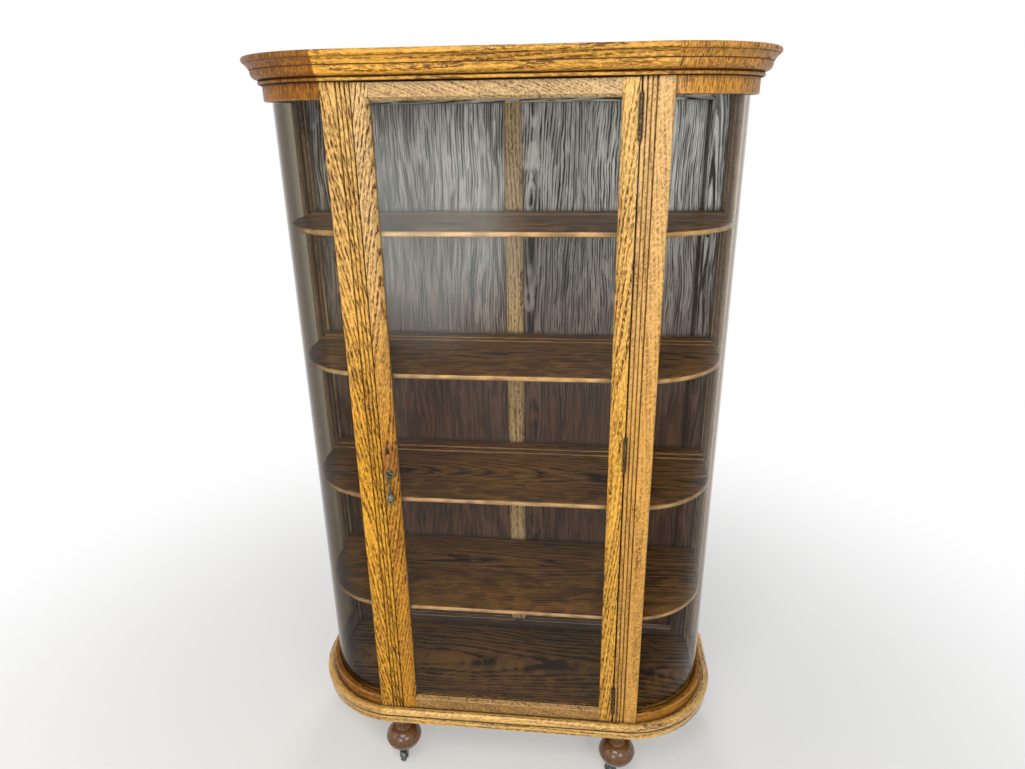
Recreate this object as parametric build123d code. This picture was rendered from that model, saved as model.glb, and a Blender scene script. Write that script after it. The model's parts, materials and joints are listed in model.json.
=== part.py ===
from build123d import *
import os
from collections import namedtuple
from math import cos, radians, sin, sqrt

# China cabinet with one flat glass door and two bent side panes, in millimetres.
# Frame: X to the right, -Y out of the front, +Z up. The origin lies on the floor,
# under the middle of the cornice's width and of the cabinet's whole depth.

# ---------------------------------------------------------------- driving sizes
# Carcass: the case between the base moulding and the cornice
carcass_width = 892.0
carcass_depth = 310.0
case_height = 1300.0
corner_radius = 192.0

# Door opening and the two reeded pilasters beside it
door_opening = 467.2
pilaster_width = 51.0
pilaster_cover = 1.3
door_cover = 2.0
reed_count = 3
reed_width = 7.6
reed_depth = 2.4
pilaster_edge_radius = 4.0

# Door frame
door_thickness = 19.0
door_gap = 1.5
hinge_gap = 2.4
stile_width = 28.7
top_rail_width = 28.0
bottom_rail_width = 31.5
sticking_width = 6.0
sticking_depth = 6.0
pane_setback = 8.0
door_stop_gap = 1.0
door_stop_depth = 11.0
door_stop_heights = (8.0, 12.0)

# Glass and the strips that hold it
pane_thickness = 3.0
pane_play = 0.3
rabbet_width = 7.0
door_pane_play = 0.5
door_pane_bedding = 0.1
bead_size = 7.0
bead_play = 0.2
bead_rounding = 3.0
side_pane_setback = 14.0
side_bead_thickness = 3.2

# Bent rails under and over the side panes
rail_thickness = 20.0
bottom_rail_height = 24.0
frieze_height = 27.0
side_rabbet_depth = 8.0
rail_edge_radius = 3.0

# Rear posts and the framed back
post_width = 24.0
post_depth = 42.0
post_lip = 10.0
post_corner_radius = 3.0
back_recess = 2.0
back_frame_thickness = 18.0
back_stile_width = 36.0
back_mullion_width = 36.0
back_bottom_rail_width = 28.0
back_top_rail_width = 66.0
back_sticking_width = 7.0
back_sticking_depth = 5.0
back_panel_thickness = 6.0
back_panel_setback = 7.0
back_groove_depth = 7.0
back_groove_play = 0.15
back_panel_play = 1.0

# Boards
floor_thickness = 12.0
ceiling_thickness = 10.0
top_thickness = 12.0

# Shelves: evenly spaced from the floor up to the space under the ceiling
shelf_count = 4
top_space = 240.8
shelf_thickness = 11.0
shelf_front_gap = 1.0
shelf_side_gap = 5.0
shelf_back_gap = 0.5
shelf_post_gap = 0.5
shelf_nosing = 4.5
grooved_shelves = (1, 2, 3)
plate_groove_width = 5.0
plate_groove_depth = 2.5
plate_groove_from_back = (32.0, 54.0)
pin_diameter = 6.0
pin_length = 22.0
pin_reach = 12.0
pin_fit = 0.02
pin_hole_spare = 0.5
rear_pin_from_post = 24.0
spare_hole_drop = 36.0

# Base moulding and the ring it is cut on
base_height = 40.0
base_front_overhang = 12.0
base_side_overhang = 20.0
base_ring_width = 70.0
base_back_rail_depth = 20.0
nose_radius = 9.0
fascia_setback = 3.5
base_arris = 2.0

# Cornice
cornice_height = 46.0
cornice_overhang = 31.0
cornice_inner = 24.0
cornice_nose_radius = 5.0
ceiling_bearing = 10.0
top_ledge = 6.0
board_play = 0.3

# Turned ball feet
foot_height = 99.0
ball_radius = 40.6
ball_half_height = 30.0
foot_flat_radius = 12.0
neck_radius = 17.0
collar_radius = 26.0
collar_height = 22.0
tenon_radius = 10.0
tenon_length = 24.0
tenon_play = 0.1
front_foot_x = 247.6
front_foot_setback = 28.0
rear_foot_inset = 45.0

# Casters
caster_height = 39.0
wheel_radius = 14.0
wheel_width = 12.0
caster_trail = 12.0
axle_radius = 2.0
stem_radius = 4.0
running_clearance = 0.05
fork_plate_thickness = 2.5
fork_disc_radius = 11.0
fork_disc_thickness = 3.0
wheel_side_gap = 0.6
socket_flange_radius = 12.0
socket_flange_thickness = 2.0
socket_sleeve_radius = 5.5
socket_depth = 36.0
socket_play = 0.1
stem_spare = 6.0
thrust_gap = 0.3
axle_end = 0.8
trailing = {"front_left": -90, "front_right": 180, "rear_left": 90, "rear_right": 60}

# Butt hinges
hinge_length = 64.0
hinge_end_distance = 59.0
knuckle_radius = 2.8
hinge_pin_radius = 1.5
knuckle_count = 5
knuckle_gap = 0.25
hinge_proud = 3.0
leaf_gap = 0.3
leaf_depth = 16.0
tip_radius = 2.6
screw_radius = 1.4
screw_head_radius = 2.5
screw_head_length = 1.2
screw_length = 12.0
screw_edge_distance = 10.0

# Lock, keyhole and drop pull on the left stile
lock_height = 645.0
lock_case_height = 46.0
lock_case_width = 17.0
lock_case_thickness = 9.0
lock_face_height = 60.0
lock_face_width = 13.0
lock_face_thickness = 1.5
bolt_height = 12.0
bolt_thickness = 5.0
bolt_length = 14.0
bolt_throw = 7.0
bolt_play = 0.3
bolt_setback = 0.2
strike_height = 36.0
strike_thickness = 1.2
strike_play = 0.6
keyhole_radius = 3.0
keyhole_slot = 3.0
keyhole_drop = 9.0
escutcheon_wall = 1.0
escutcheon_proud = 0.4
pull_height = 590.0
rosette_width = 14.0
rosette_height = 22.0
rosette_thickness = 2.2
stud_radius = 2.0
stud_length = 8.0
pull_pin_radius = 1.0
pull_reach = 7.5
pull_ear = 1.6
pull_ear_gap = 3.6
pull_eye_radius = 2.6
pull_eye_width = 3.0
drop_length = 68.0
drop_width = 13.0
drop_leaf_length = 32.0
drop_thickness = 4.0
drop_neck = 3.6

# How far a cutting block runs past the wood that it cuts
past = 1.0

# ---------------------------------------------------------------- derived places
Outline = namedtuple("Outline", "half front radius back")

front_y = cornice_overhang - (carcass_depth + cornice_overhang) / 2
back_y = front_y + carcass_depth
base_bottom = caster_height + foot_height
base_top = base_bottom + base_height
case_top = base_top + case_height
overall_height = case_top + cornice_height

carcass = Outline(carcass_width / 2, front_y, corner_radius, back_y)
base_line = Outline(
    carcass_width / 2 + base_side_overhang,
    front_y - base_front_overhang,
    corner_radius + base_front_overhang,
    back_y,
)

opening_half = door_opening / 2
pilaster_outer = opening_half + pilaster_width
door_left = -opening_half + door_gap
door_right = opening_half - hinge_gap
door_bottom = base_top + door_gap
door_top = case_top - door_gap
sight_left = door_left + stile_width
sight_right = -sight_left
sight_bottom = door_bottom + bottom_rail_width
sight_top = door_top - top_rail_width
door_back = front_y + door_thickness

pane_outer_inset = side_pane_setback
pane_inner_inset = side_pane_setback + pane_thickness
pane_bottom = base_top + bottom_rail_height - side_rabbet_depth
pane_top = case_top - frieze_height + side_rabbet_depth

post_front = back_y - post_depth
post_inner = carcass.half - post_width
frame_front = back_y - back_frame_thickness - back_recess
frame_back = frame_front + back_frame_thickness
shelf_back = frame_front - shelf_back_gap
shelf_pitch = (case_height - top_space) / shelf_count


def bend_depth(outline, inset, x):
    """How far an inset outline lies behind the outline's front at a place across it."""
    reach = max(0.0, x - (outline.half - outline.radius))
    bend = outline.radius - inset
    return outline.radius - sqrt(bend**2 - reach**2)


# The pilasters are thick enough to cover both the bent pane's edge and the door's edge,
# and the shelves clear their backs
pane_cover = bend_depth(carcass, pane_inner_inset, pilaster_outer) + pilaster_cover
pilaster_thickness = round(max(pane_cover, door_thickness + door_cover), 1)
shelf_setback = pilaster_thickness + shelf_front_gap
shelf_inset = pane_inner_inset + shelf_side_gap
shelf_line = Outline(
    carcass.half - shelf_inset,
    front_y + shelf_setback,
    corner_radius - max(shelf_inset, shelf_setback),
    shelf_back,
)


# ---------------------------------------------------------------- shape helpers
def block(low, high):
    """A box between two corners."""
    size = [b - a for a, b in zip(low, high)]
    centre = [(a + b) / 2 for a, b in zip(low, high)]
    return Pos(*centre) * Box(*size)


def d_plate(outline, inset, low, high, back=None):
    """A flat board with the cabinet's plan: straight back, bent front corners."""
    half = outline.half - inset
    front = outline.front + inset
    rear = outline.back if back is None else back
    plan = Pos(0, (front + rear) / 2) * Rectangle(2 * half, rear - front)
    corners = plan.vertices().group_by(Axis.Y)[0]
    plan = fillet(corners, outline.radius - inset)
    return Pos(0, 0, low) * extrude(plan, high - low)


def bend_centre(outline):
    """Plan centre of the right-hand bent corner."""
    return outline.half - outline.radius, outline.front + outline.radius


def right_run(profile, outline, low):
    """Run a profile, drawn as outward offset and height, round the right half of the
    cabinet: from the middle of the front, round the bend and along the side."""
    centre_x, centre_y = bend_centre(outline)
    bend = Plane(origin=(centre_x, outline.front, low), x_dir=(0, -1, 0), z_dir=(-1, 0, 0))
    front = extrude(bend * profile, centre_x)
    start = Plane(origin=(outline.half, centre_y, low), x_dir=(1, 0, 0), z_dir=(0, -1, 0))
    corner = revolve(start * profile, Axis((centre_x, centre_y, 0), (0, 0, 1)), -90)
    end = Plane(origin=(outline.half, outline.back, low), x_dir=(1, 0, 0), z_dir=(0, -1, 0))
    side = extrude(end * profile, outline.back - centre_y)
    return front + corner + side


def to_left(shape):
    """The same piece on the other side of the cabinet."""
    return mirror(shape, Plane.YZ)


def slab_between(x_low, x_high):
    """Everything between two upright planes across the width."""
    reach = carcass_depth + 2 * cornice_overhang
    return block((x_low, -reach, -past), (x_high, reach, overall_height + past))


def single(shape):
    """The one solid that a boolean left, without its compound."""
    solids = shape.solids()
    if len(solids) != 1:
        raise ValueError(f"expected one solid, got {len(solids)}")
    return solids[0]


def bulge(centre, radius, start, end):
    """Three points of a round bulge: its start, middle and end, by angles in degrees."""
    x, z = centre
    angles = (start, (start + end) / 2, end)
    return [(x + radius * cos(radians(a)), z + radius * sin(radians(a))) for a in angles]


def rectangle_profile(offset_low, offset_high, low, high):
    """A plain rectangular profile: outward offsets and heights."""
    centre = Pos((offset_low + offset_high) / 2, (low + high) / 2)
    return centre * Rectangle(offset_high - offset_low, high - low)


def frame_bevel(x_low, x_high, z_low, z_high, face_y, width, depth):
    """The sloping cut round the front edge of a framed opening, mitred at its corners."""
    centre = ((x_low + x_high) / 2, (z_low + z_high) / 2)
    spans = (x_high - x_low, z_high - z_low)
    wide = Rectangle(spans[0] + 2 * width, spans[1] + 2 * width)
    narrow = Rectangle(*spans)
    front = Plane(origin=(centre[0], face_y, centre[1]), x_dir=(1, 0, 0), z_dir=(0, -1, 0))
    rear = Plane(origin=(centre[0], face_y + depth, centre[1]), x_dir=(1, 0, 0), z_dir=(0, -1, 0))
    return loft([front * wide, rear * narrow])


# ---------------------------------------------------------------- base
def base_profile():
    """Nosing over a plain fascia, drawn from the outermost line inwards and down."""
    step = 1.5
    groove_depth = 3.0
    shoulder = -nose_radius
    nose = bulge((shoulder, -step - nose_radius), nose_radius, 90, -60)
    groove_bottom = nose[2][1]
    with BuildSketch() as sketch:
        with BuildLine():
            Polyline((-base_ring_width, -base_height), (-base_ring_width, 0), (shoulder, 0), nose[0])
            ThreePointArc(*nose)
            Polyline(
                nose[2],
                (-fascia_setback - groove_depth, groove_bottom - base_arris),
                (-fascia_setback, groove_bottom - fascia_setback),
                (-fascia_setback, base_arris - base_height),
                (-fascia_setback - base_arris, -base_height),
                (-base_ring_width, -base_height),
            )
        make_face()
    return sketch.sketch


def foot_places():
    """Plan centre of each foot, by name."""
    front = front_y + front_foot_setback
    rear_x = base_line.half - rear_foot_inset
    rear = back_y - rear_foot_inset
    return {
        "front_left": (-front_foot_x, front),
        "front_right": (front_foot_x, front),
        "rear_left": (-rear_x, rear),
        "rear_right": (rear_x, rear),
    }


def make_base():
    profile = base_profile()
    ring_right = right_run(profile, base_line, base_top)
    seat = d_plate(carcass, 0, base_top - floor_thickness, base_top + past)
    tenon_hole = Cylinder(tenon_radius + tenon_play, tenon_length + past)
    ring = ring_right + to_left(ring_right)
    ring = ring - seat
    for x, y in foot_places().values():
        ring = ring - Pos(x, y, base_bottom + tenon_length / 2) * tenon_hole
    middle = slab_between(-pilaster_outer, pilaster_outer)
    reach = base_line.half + past
    inner = base_line.half - base_ring_width
    back_rail = block(
        (-inner, back_y - base_back_rail_depth, base_bottom),
        (inner, back_y, base_top - floor_thickness),
    )
    return {
        "base_front": single(ring & middle),
        "base_left": single(ring & slab_between(-reach, -pilaster_outer)),
        "base_right": single(ring & slab_between(pilaster_outer, reach)),
        "base_back_rail": back_rail,
    }


# ---------------------------------------------------------------- boards
def make_boards():
    floor = d_plate(carcass, board_play, base_top - floor_thickness, base_top)
    ceiling = d_plate(
        carcass,
        ceiling_bearing + board_play,
        case_top,
        case_top + ceiling_thickness,
        frame_front - board_play,
    )
    top = d_plate(
        carcass,
        cornice_inner - top_ledge + board_play,
        overall_height - top_thickness,
        overall_height,
    )
    return {"floor_board": floor, "ceiling_board": ceiling, "top_board": top}


# ---------------------------------------------------------------- pilasters and posts
def pane_space(low, high):
    """The room kept free for a right-hand bent pane and everything behind it."""
    inner = -pane_inner_inset - 2 * rail_thickness
    outer = -pane_outer_inset + pane_play
    profile = rectangle_profile(inner, outer, low - base_top, high - base_top)
    return right_run(profile, carcass, base_top)


def pilaster_face():
    """Cross-section of the right pilaster: reeds beside the door, then a plain flat."""
    inner = opening_half
    back = front_y + pilaster_thickness
    valley = front_y + reed_depth
    reeds_end = inner + reed_count * reed_width
    round_start = (pilaster_outer - pilaster_edge_radius, front_y)
    round_end = (pilaster_outer, front_y + pilaster_edge_radius)
    with BuildSketch() as sketch:
        with BuildLine():
            Line((inner, back), (inner, valley))
            for i in range(reed_count):
                start = inner + i * reed_width
                crown = (start + reed_width / 2, front_y)
                ThreePointArc((start, valley), crown, (start + reed_width, valley))
            Polyline((reeds_end, valley), (reeds_end + reed_depth * 0.7, front_y), round_start)
            RadiusArc(round_start, round_end, -pilaster_edge_radius)
            Polyline(round_end, (pilaster_outer, back), (inner, back))
        make_face()
    return sketch.sketch


def shelf_levels():
    """Top face of each shelf, counted from the top one down."""
    return [base_top + shelf_pitch * (shelf_count - i) for i in range(shelf_count)]


def pin_places():
    """Axis points where pins enter the pilasters and back stiles, for every shelf."""
    front_x = (opening_half + pilaster_outer) / 2
    rear_x = post_inner - rear_pin_from_post
    places = []
    for level in shelf_levels():
        height = level - shelf_thickness - pin_diameter / 2
        for side in (-1, 1):
            places.append((side * front_x, front_y + pilaster_thickness, height, 1))
            places.append((side * rear_x, frame_front, height, -1))
    return places


def pin_rod(place, inside, outside, radius):
    """A round rod across a face: into the wood by inside, out of it by outside."""
    x, y, z, toward = place
    middle = y + toward * (outside - inside) / 2
    return Pos(x, middle, z) * Rot(90, 0, 0) * Cylinder(radius, inside + outside)


def pin_holes(spare_drop):
    """Holes for the pins and, lower down, one spare row for another shelf height."""
    depth = pin_length - pin_reach
    holes = []
    for x, y, z, toward in pin_places():
        holes.append(pin_rod((x, y, z, toward), depth, past, pin_diameter / 2))
        holes.append(pin_rod((x, y, z - spare_drop, toward), depth, past, pin_diameter / 2))
    return holes


def make_pilasters():
    board = Pos(0, 0, base_top) * extrude(pilaster_face(), case_height)
    edge = slab_between(pilaster_outer - rabbet_width, pilaster_outer + past)
    rabbet = pane_space(base_top - past, case_top + past) & edge
    right = board - rabbet
    left = to_left(right)
    for hole in pin_holes(spare_hole_drop):
        right = right - hole
        left = left - hole
    return {"pilaster_left": left, "pilaster_right": right}


def make_posts():
    post = block((post_inner, post_front, base_top), (carcass.half, back_y, case_top))
    lip = block(
        (post_inner - past, post_front - past, base_top - past),
        (carcass.half - pane_outer_inset + pane_play, post_front + post_lip, case_top + past),
    )
    corner = post.edges().filter_by(Axis.Z).group_by(Axis.X)[-1].group_by(Axis.Y)[-1]
    post = fillet(corner, post_corner_radius) - lip
    return {"rear_post_left": to_left(post), "rear_post_right": post}


# ---------------------------------------------------------------- bent rails
def bottom_rail_profile():
    """Outer lip in front of the pane, with a rabbet behind it open to the inside."""
    lip = -pane_outer_inset + pane_play
    ledge = bottom_rail_height - side_rabbet_depth
    with BuildSketch() as sketch:
        with BuildLine():
            Polyline((0, bottom_rail_height - rail_edge_radius), (0, 0), (-rail_thickness, 0))
            Polyline(
                (-rail_thickness, 0),
                (-rail_thickness, ledge),
                (lip, ledge),
                (lip, bottom_rail_height),
                (-rail_edge_radius, bottom_rail_height),
            )
            RadiusArc(
                (-rail_edge_radius, bottom_rail_height),
                (0, bottom_rail_height - rail_edge_radius),
                rail_edge_radius,
            )
        make_face()
    return sketch.sketch


def frieze_profile():
    """The same rail turned over: its lip hangs down in front of the pane's top."""
    lip = -pane_outer_inset + pane_play
    ledge = side_rabbet_depth
    with BuildSketch() as sketch:
        with BuildLine():
            Polyline((0, rail_edge_radius), (0, frieze_height), (-rail_thickness, frieze_height))
            Polyline(
                (-rail_thickness, frieze_height),
                (-rail_thickness, ledge),
                (lip, ledge),
                (lip, 0),
                (-rail_edge_radius, 0),
            )
            RadiusArc((-rail_edge_radius, 0), (0, rail_edge_radius), -rail_edge_radius)
        make_face()
    return sketch.sketch


def between_pilaster_and_post():
    """The stretch of each side that the bent rails fill."""
    return block(
        (pilaster_outer, front_y - past, base_top - past),
        (carcass.half + past, post_front, case_top + past),
    )


def make_bent_rails():
    stretch = between_pilaster_and_post()
    low = right_run(bottom_rail_profile(), carcass, base_top) & stretch
    high = right_run(frieze_profile(), carcass, case_top - frieze_height) & stretch
    low = single(low)
    high = single(high)
    return {
        "bottom_rail_left": to_left(low),
        "bottom_rail_right": low,
        "frieze_left": to_left(high),
        "frieze_right": high,
    }


# ---------------------------------------------------------------- side panes and beads
def make_side_panes():
    profile = rectangle_profile(
        -pane_inner_inset,
        -pane_outer_inset,
        pane_bottom + pane_play - base_top,
        pane_top - pane_play - base_top,
    )
    stretch = block(
        (pilaster_outer - rabbet_width + pane_play, front_y, base_top),
        (carcass.half, post_front + post_lip - pane_play, case_top),
    )
    pane = single(right_run(profile, carcass, base_top) & stretch)
    return {"side_glass_left": to_left(pane), "side_glass_right": pane}


def make_side_beads():
    """Thin strips behind each bent pane: one bent along each rail, one up each end."""
    outer = -pane_inner_inset - pane_play
    inner = outer - side_bead_thickness
    stretch = block(
        (pilaster_outer + bead_play, front_y, base_top),
        (carcass.half, post_front - bead_play, case_top),
    )
    low = rectangle_profile(inner, outer, bottom_rail_height - side_rabbet_depth, bottom_rail_height)
    high_end = case_height - frieze_height
    high = rectangle_profile(inner, outer, high_end, high_end + side_rabbet_depth)
    beads = [single(right_run(face, carcass, base_top) & stretch) for face in (low, high)]
    upright_low = base_top + bead_play
    upright_high = case_top - bead_play
    bead_start = pilaster_outer - rabbet_width + 2 * bead_play
    bead_back = front_y + shelf_setback - pane_play
    strip = block((bead_start, front_y, upright_low), (pilaster_outer, bead_back, upright_high))
    hollow = d_plate(carcass, pane_inner_inset + pane_play, base_top, case_top)
    beads.append(single(strip & hollow))
    post_strip = block(
        (post_inner + shelf_post_gap, post_front, upright_low),
        (carcass.half + outer, post_front + post_lip - bead_play, upright_high),
    )
    inner_edge = post_strip.edges().filter_by(Axis.Z).group_by(Axis.X)[0].group_by(Axis.Y)[0]
    beads.append(fillet(inner_edge, bead_rounding))
    return {"side_glass_beads": Compound(beads + [to_left(bead) for bead in beads])}


# ---------------------------------------------------------------- cornice
def cornice_profile():
    """Bead, cushion, flare and nose, from the case's face outwards and up."""
    bead = bulge((4.0, 4.2), 3.5, -65, 75)
    nose_centre = (cornice_overhang - cornice_nose_radius, cornice_height - cornice_nose_radius)
    nose = bulge(nose_centre, cornice_nose_radius, -75, 90)
    cushion = [(10.0, 9.6), (16.9, 15.3), (18.0, 24.2)]
    flare = [(19.5, 25.0), (22.6, 30.6), (nose[0][0] - 0.4, nose[0][1] - 1.2)]
    inner_top = top_ledge - cornice_inner
    rebate = cornice_height - top_thickness
    with BuildSketch() as sketch:
        with BuildLine():
            Polyline((-cornice_inner, 0), (3.0, 0), bead[0])
            ThreePointArc(*bead)
            Polyline(bead[2], (6.5, 8.6), cushion[0])
            ThreePointArc(*cushion)
            Line(cushion[2], flare[0])
            ThreePointArc(*flare)
            Line(flare[2], nose[0])
            ThreePointArc(*nose)
            Polyline(
                nose[2],
                (inner_top, cornice_height),
                (inner_top, rebate),
                (-cornice_inner, rebate),
                (-cornice_inner, 0),
            )
        make_face()
    return sketch.sketch


def make_cornice():
    """Three lengths of moulding, rebated underneath for the ceiling board."""
    profile = cornice_profile()
    right = right_run(profile, carcass, case_top)
    ring = right + to_left(right)
    ceiling_top = case_top + ceiling_thickness
    ring = ring - d_plate(carcass, ceiling_bearing, case_top - past, ceiling_top, frame_front)
    reach = carcass.half + cornice_overhang + past
    return {
        "cornice_front": single(ring & slab_between(-pilaster_outer, pilaster_outer)),
        "cornice_left": single(ring & slab_between(-reach, -pilaster_outer)),
        "cornice_right": single(ring & slab_between(pilaster_outer, reach)),
    }


# ---------------------------------------------------------------- framed back
def make_back():
    mullion_half = back_mullion_width / 2
    inner = post_inner - back_stile_width
    frame_top = overall_height - top_thickness
    low = base_top + back_bottom_rail_width
    high = frame_top - back_top_rail_width
    openings = ((-inner, -mullion_half), (mullion_half, inner))
    near = frame_front + back_panel_setback
    far = near + back_panel_thickness
    bevels = [
        frame_bevel(x0, x1, low, high, frame_front, back_sticking_width, back_sticking_depth)
        for x0, x1 in openings
    ]

    def behind_opening(x0, x1, reach, play):
        """The space of a panel that runs into the frame's grooves by reach on every edge."""
        return block((x0 - reach, near - play, low - reach), (x1 + reach, far + play, high + reach))

    grooves = [behind_opening(*span, back_groove_depth, back_groove_play) for span in openings]
    panels = [behind_opening(*span, back_groove_depth - back_panel_play, 0) for span in openings]

    def cut(shape, with_pins=False):
        for tool in bevels + grooves:
            shape = shape - tool
        if with_pins:
            for hole in pin_holes(spare_hole_drop):
                shape = shape - hole
        return shape

    def frame_piece(x0, x1, z0, z1):
        return block((x0, frame_front, z0), (x1, frame_back, z1))

    stile = frame_piece(inner, post_inner, base_top, frame_top)
    return {
        "back_stile_left": cut(to_left(stile), True),
        "back_stile_right": cut(stile, True),
        "back_mullion": cut(frame_piece(-mullion_half, mullion_half, low, high)),
        "back_bottom_rail": cut(frame_piece(-inner, inner, base_top, low)),
        "back_top_rail": cut(frame_piece(-inner, inner, high, frame_top)),
        "back_panels": Compound(panels),
    }


# ---------------------------------------------------------------- shelves
def make_shelves():
    shelves = {}
    for number, level in enumerate(shelf_levels(), start=1):
        low = level - shelf_thickness
        board = d_plate(shelf_line, 0, low, level)
        level_edges = board.edges().filter_by(Plane.XY)
        board = fillet([edge for edge in level_edges if edge.center().Y < shelf_back - past], shelf_nosing)
        notch = block(
            (post_inner - shelf_post_gap, post_front - shelf_post_gap, low - past),
            (carcass.half, back_y, level + past),
        )
        board = board - notch - to_left(notch)
        if number in grooved_shelves:
            for distance in plate_groove_from_back:
                centre = shelf_back - distance
                board = board - block(
                    (-carcass.half, centre - plate_groove_width / 2, level - plate_groove_depth),
                    (carcass.half, centre + plate_groove_width / 2, level + past),
                )
        shelves[f"shelf_{number}"] = single(board)
    pin_inside = pin_length - pin_reach - pin_hole_spare
    pin_radius = pin_diameter / 2 - pin_fit
    pins = [pin_rod(place, pin_inside, pin_reach, pin_radius) for place in pin_places()]
    shelves["shelf_pins"] = Compound(pins)
    return shelves


def make_door_stops():
    """Two strips that the closed door shuts against."""
    near = door_back + door_stop_gap
    far = near + door_stop_depth
    half = opening_half - door_pane_play
    low_height, high_height = door_stop_heights
    high = block((-half, near, case_top - high_height), (half, far, case_top))
    low = block((-half, near, base_top), (half, far, base_top + low_height))
    return {"door_stops": Compound([low, high])}


# ---------------------------------------------------------------- door
def lock_cutters():
    """Room for the lock's case and face plate, and the keyhole through the face."""
    x0 = door_left
    case_back = x0 + lock_face_thickness + lock_case_width
    middle_y = front_y + door_thickness / 2
    height = base_top + lock_height
    case = block(
        (x0 - past, middle_y - lock_case_thickness / 2, height - lock_case_height / 2),
        (case_back, middle_y + lock_case_thickness / 2, height + lock_case_height / 2),
    )
    face = block(
        (x0 - past, middle_y - lock_face_width / 2, height - lock_face_height / 2),
        (x0 + lock_face_thickness, middle_y + lock_face_width / 2, height + lock_face_height / 2),
    )
    return case, face


def keyhole(grow, y_low, y_high):
    """A round hole with a slot hanging from it, grown evenly outwards."""
    height = base_top + lock_height
    centre_x = (door_left + sight_left - sticking_width) / 2
    plane = Plane(origin=(centre_x, y_high, height), x_dir=(1, 0, 0), z_dir=(0, -1, 0))
    slot_height = keyhole_drop + grow
    shape = Circle(keyhole_radius + grow)
    shape = shape + Pos(0, -slot_height / 2) * Rectangle(keyhole_slot + 2 * grow, slot_height)
    return extrude(plane * shape, y_high - y_low)


def make_door():
    box = ((door_left, front_y, door_bottom), (door_right, door_back, door_top))
    left = block(box[0], (sight_left, door_back, door_top))
    right = block((sight_right, front_y, door_bottom), box[1])
    low = block((sight_left, front_y, door_bottom), (sight_right, door_back, sight_bottom))
    high = block((sight_left, front_y, sight_top), (sight_right, door_back, door_top))
    bevel = frame_bevel(
        sight_left, sight_right, sight_bottom, sight_top, front_y, sticking_width, sticking_depth
    )
    rabbet = block(
        (sight_left - rabbet_width, front_y + pane_setback, sight_bottom - rabbet_width),
        (sight_right + rabbet_width, door_back + past, sight_top + rabbet_width),
    )
    pieces = {
        "door_stile_left": left - bevel - rabbet,
        "door_stile_right": right - bevel - rabbet,
        "door_rail_top": high - bevel - rabbet,
        "door_rail_bottom": low - bevel - rabbet,
    }
    case, face = lock_cutters()
    liner = keyhole(escutcheon_wall, front_y - past, front_y + door_thickness / 2)
    stile = pieces["door_stile_left"] - case - face - liner - pull_stud()
    pieces["door_stile_left"] = stile

    pane_front = front_y + pane_setback + door_pane_bedding
    pane_back = pane_front + pane_thickness
    reach = rabbet_width - door_pane_play
    pieces["door_glass"] = block(
        (sight_left - reach, pane_front, sight_bottom - reach),
        (sight_right + reach, pane_back, sight_top + reach),
    )
    pieces["door_glass_beads"] = door_beads(pane_back + door_pane_bedding)
    return pieces


def door_beads(near):
    """Four strips behind the door's pane, the upright pair between the level pair."""
    far = door_back - pane_play
    outer = rabbet_width - bead_play
    inner = rabbet_width - bead_size
    low = sight_bottom - outer
    high = sight_top + outer
    left = sight_left - outer
    right = sight_right + outer
    size = outer - inner
    strips = [
        block((left, near, low), (right, far, low + size)),
        block((left, near, high - size), (right, far, high)),
        block((left, near, low + size), (left + size, far, high - size)),
        block((right - size, near, low + size), (right, far, high - size)),
    ]
    rounded = []
    for strip, axis, sign in zip(strips, (Axis.Z, Axis.Z, Axis.X, Axis.X), (-1, 0, -1, 0)):
        long_axis = Axis.X if axis is Axis.Z else Axis.Z
        edge = strip.edges().filter_by(long_axis).group_by(Axis.Y)[-1].group_by(axis)[sign]
        rounded.append(fillet(edge, bead_rounding))
    return Compound(rounded)


# ---------------------------------------------------------------- lock and pull
def make_lock():
    case, face = lock_cutters()
    trim = block((door_left, front_y, base_top), (sight_left, door_back, case_top))
    body = (case & trim) + (face & trim)
    middle_y = front_y + door_thickness / 2
    height = base_top + lock_height
    bolt_start = door_left + bolt_setback
    bolt = block(
        (bolt_start, middle_y - bolt_thickness / 2, height - bolt_height / 2),
        (bolt_start + bolt_length, middle_y + bolt_thickness / 2, height + bolt_height / 2),
    )
    half_thickness = bolt_thickness / 2 + bolt_play
    half_height = bolt_height / 2 + bolt_play
    channel = block(
        (door_left - past, middle_y - half_thickness, height - half_height),
        (bolt_start + bolt_length + bolt_play, middle_y + half_thickness, height + half_height),
    )
    key_way = keyhole(0.0, front_y, middle_y - bolt_thickness / 2)
    liner_end = middle_y - lock_case_thickness / 2
    liner = keyhole(escutcheon_wall, front_y - escutcheon_proud, liner_end)
    liner = liner - keyhole(0.0, front_y - past, liner_end + past)
    return {
        "lock_case": single(body - channel - key_way),
        "lock_bolt": bolt,
        "keyhole_escutcheon": single(liner),
    }


def strike_cutters():
    """Recess for the strike plate in the left pilaster, and the bolt's pocket behind it."""
    edge = -opening_half
    middle_y = front_y + door_thickness / 2
    height = base_top + lock_height
    plate = block(
        (edge - strike_thickness, middle_y - lock_face_width / 2, height - strike_height / 2),
        (edge + past, middle_y + lock_face_width / 2, height + strike_height / 2),
    )
    half_thickness = bolt_thickness / 2 + strike_play
    half_height = bolt_height / 2 + strike_play
    pocket = block(
        (edge - bolt_throw - past, middle_y - half_thickness, height - half_height),
        (edge + past, middle_y + half_thickness, height + half_height),
    )
    return plate, pocket


def make_strike():
    plate, pocket = strike_cutters()
    return {"strike_plate": single((plate & slab_between(-pilaster_outer, -opening_half)) - pocket)}


def pull_axis():
    """Point on the pull's pin: across the stile, in front of its face."""
    x = (door_left + sight_left - sticking_width) / 2
    return x, front_y - pull_reach, base_top + pull_height


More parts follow.
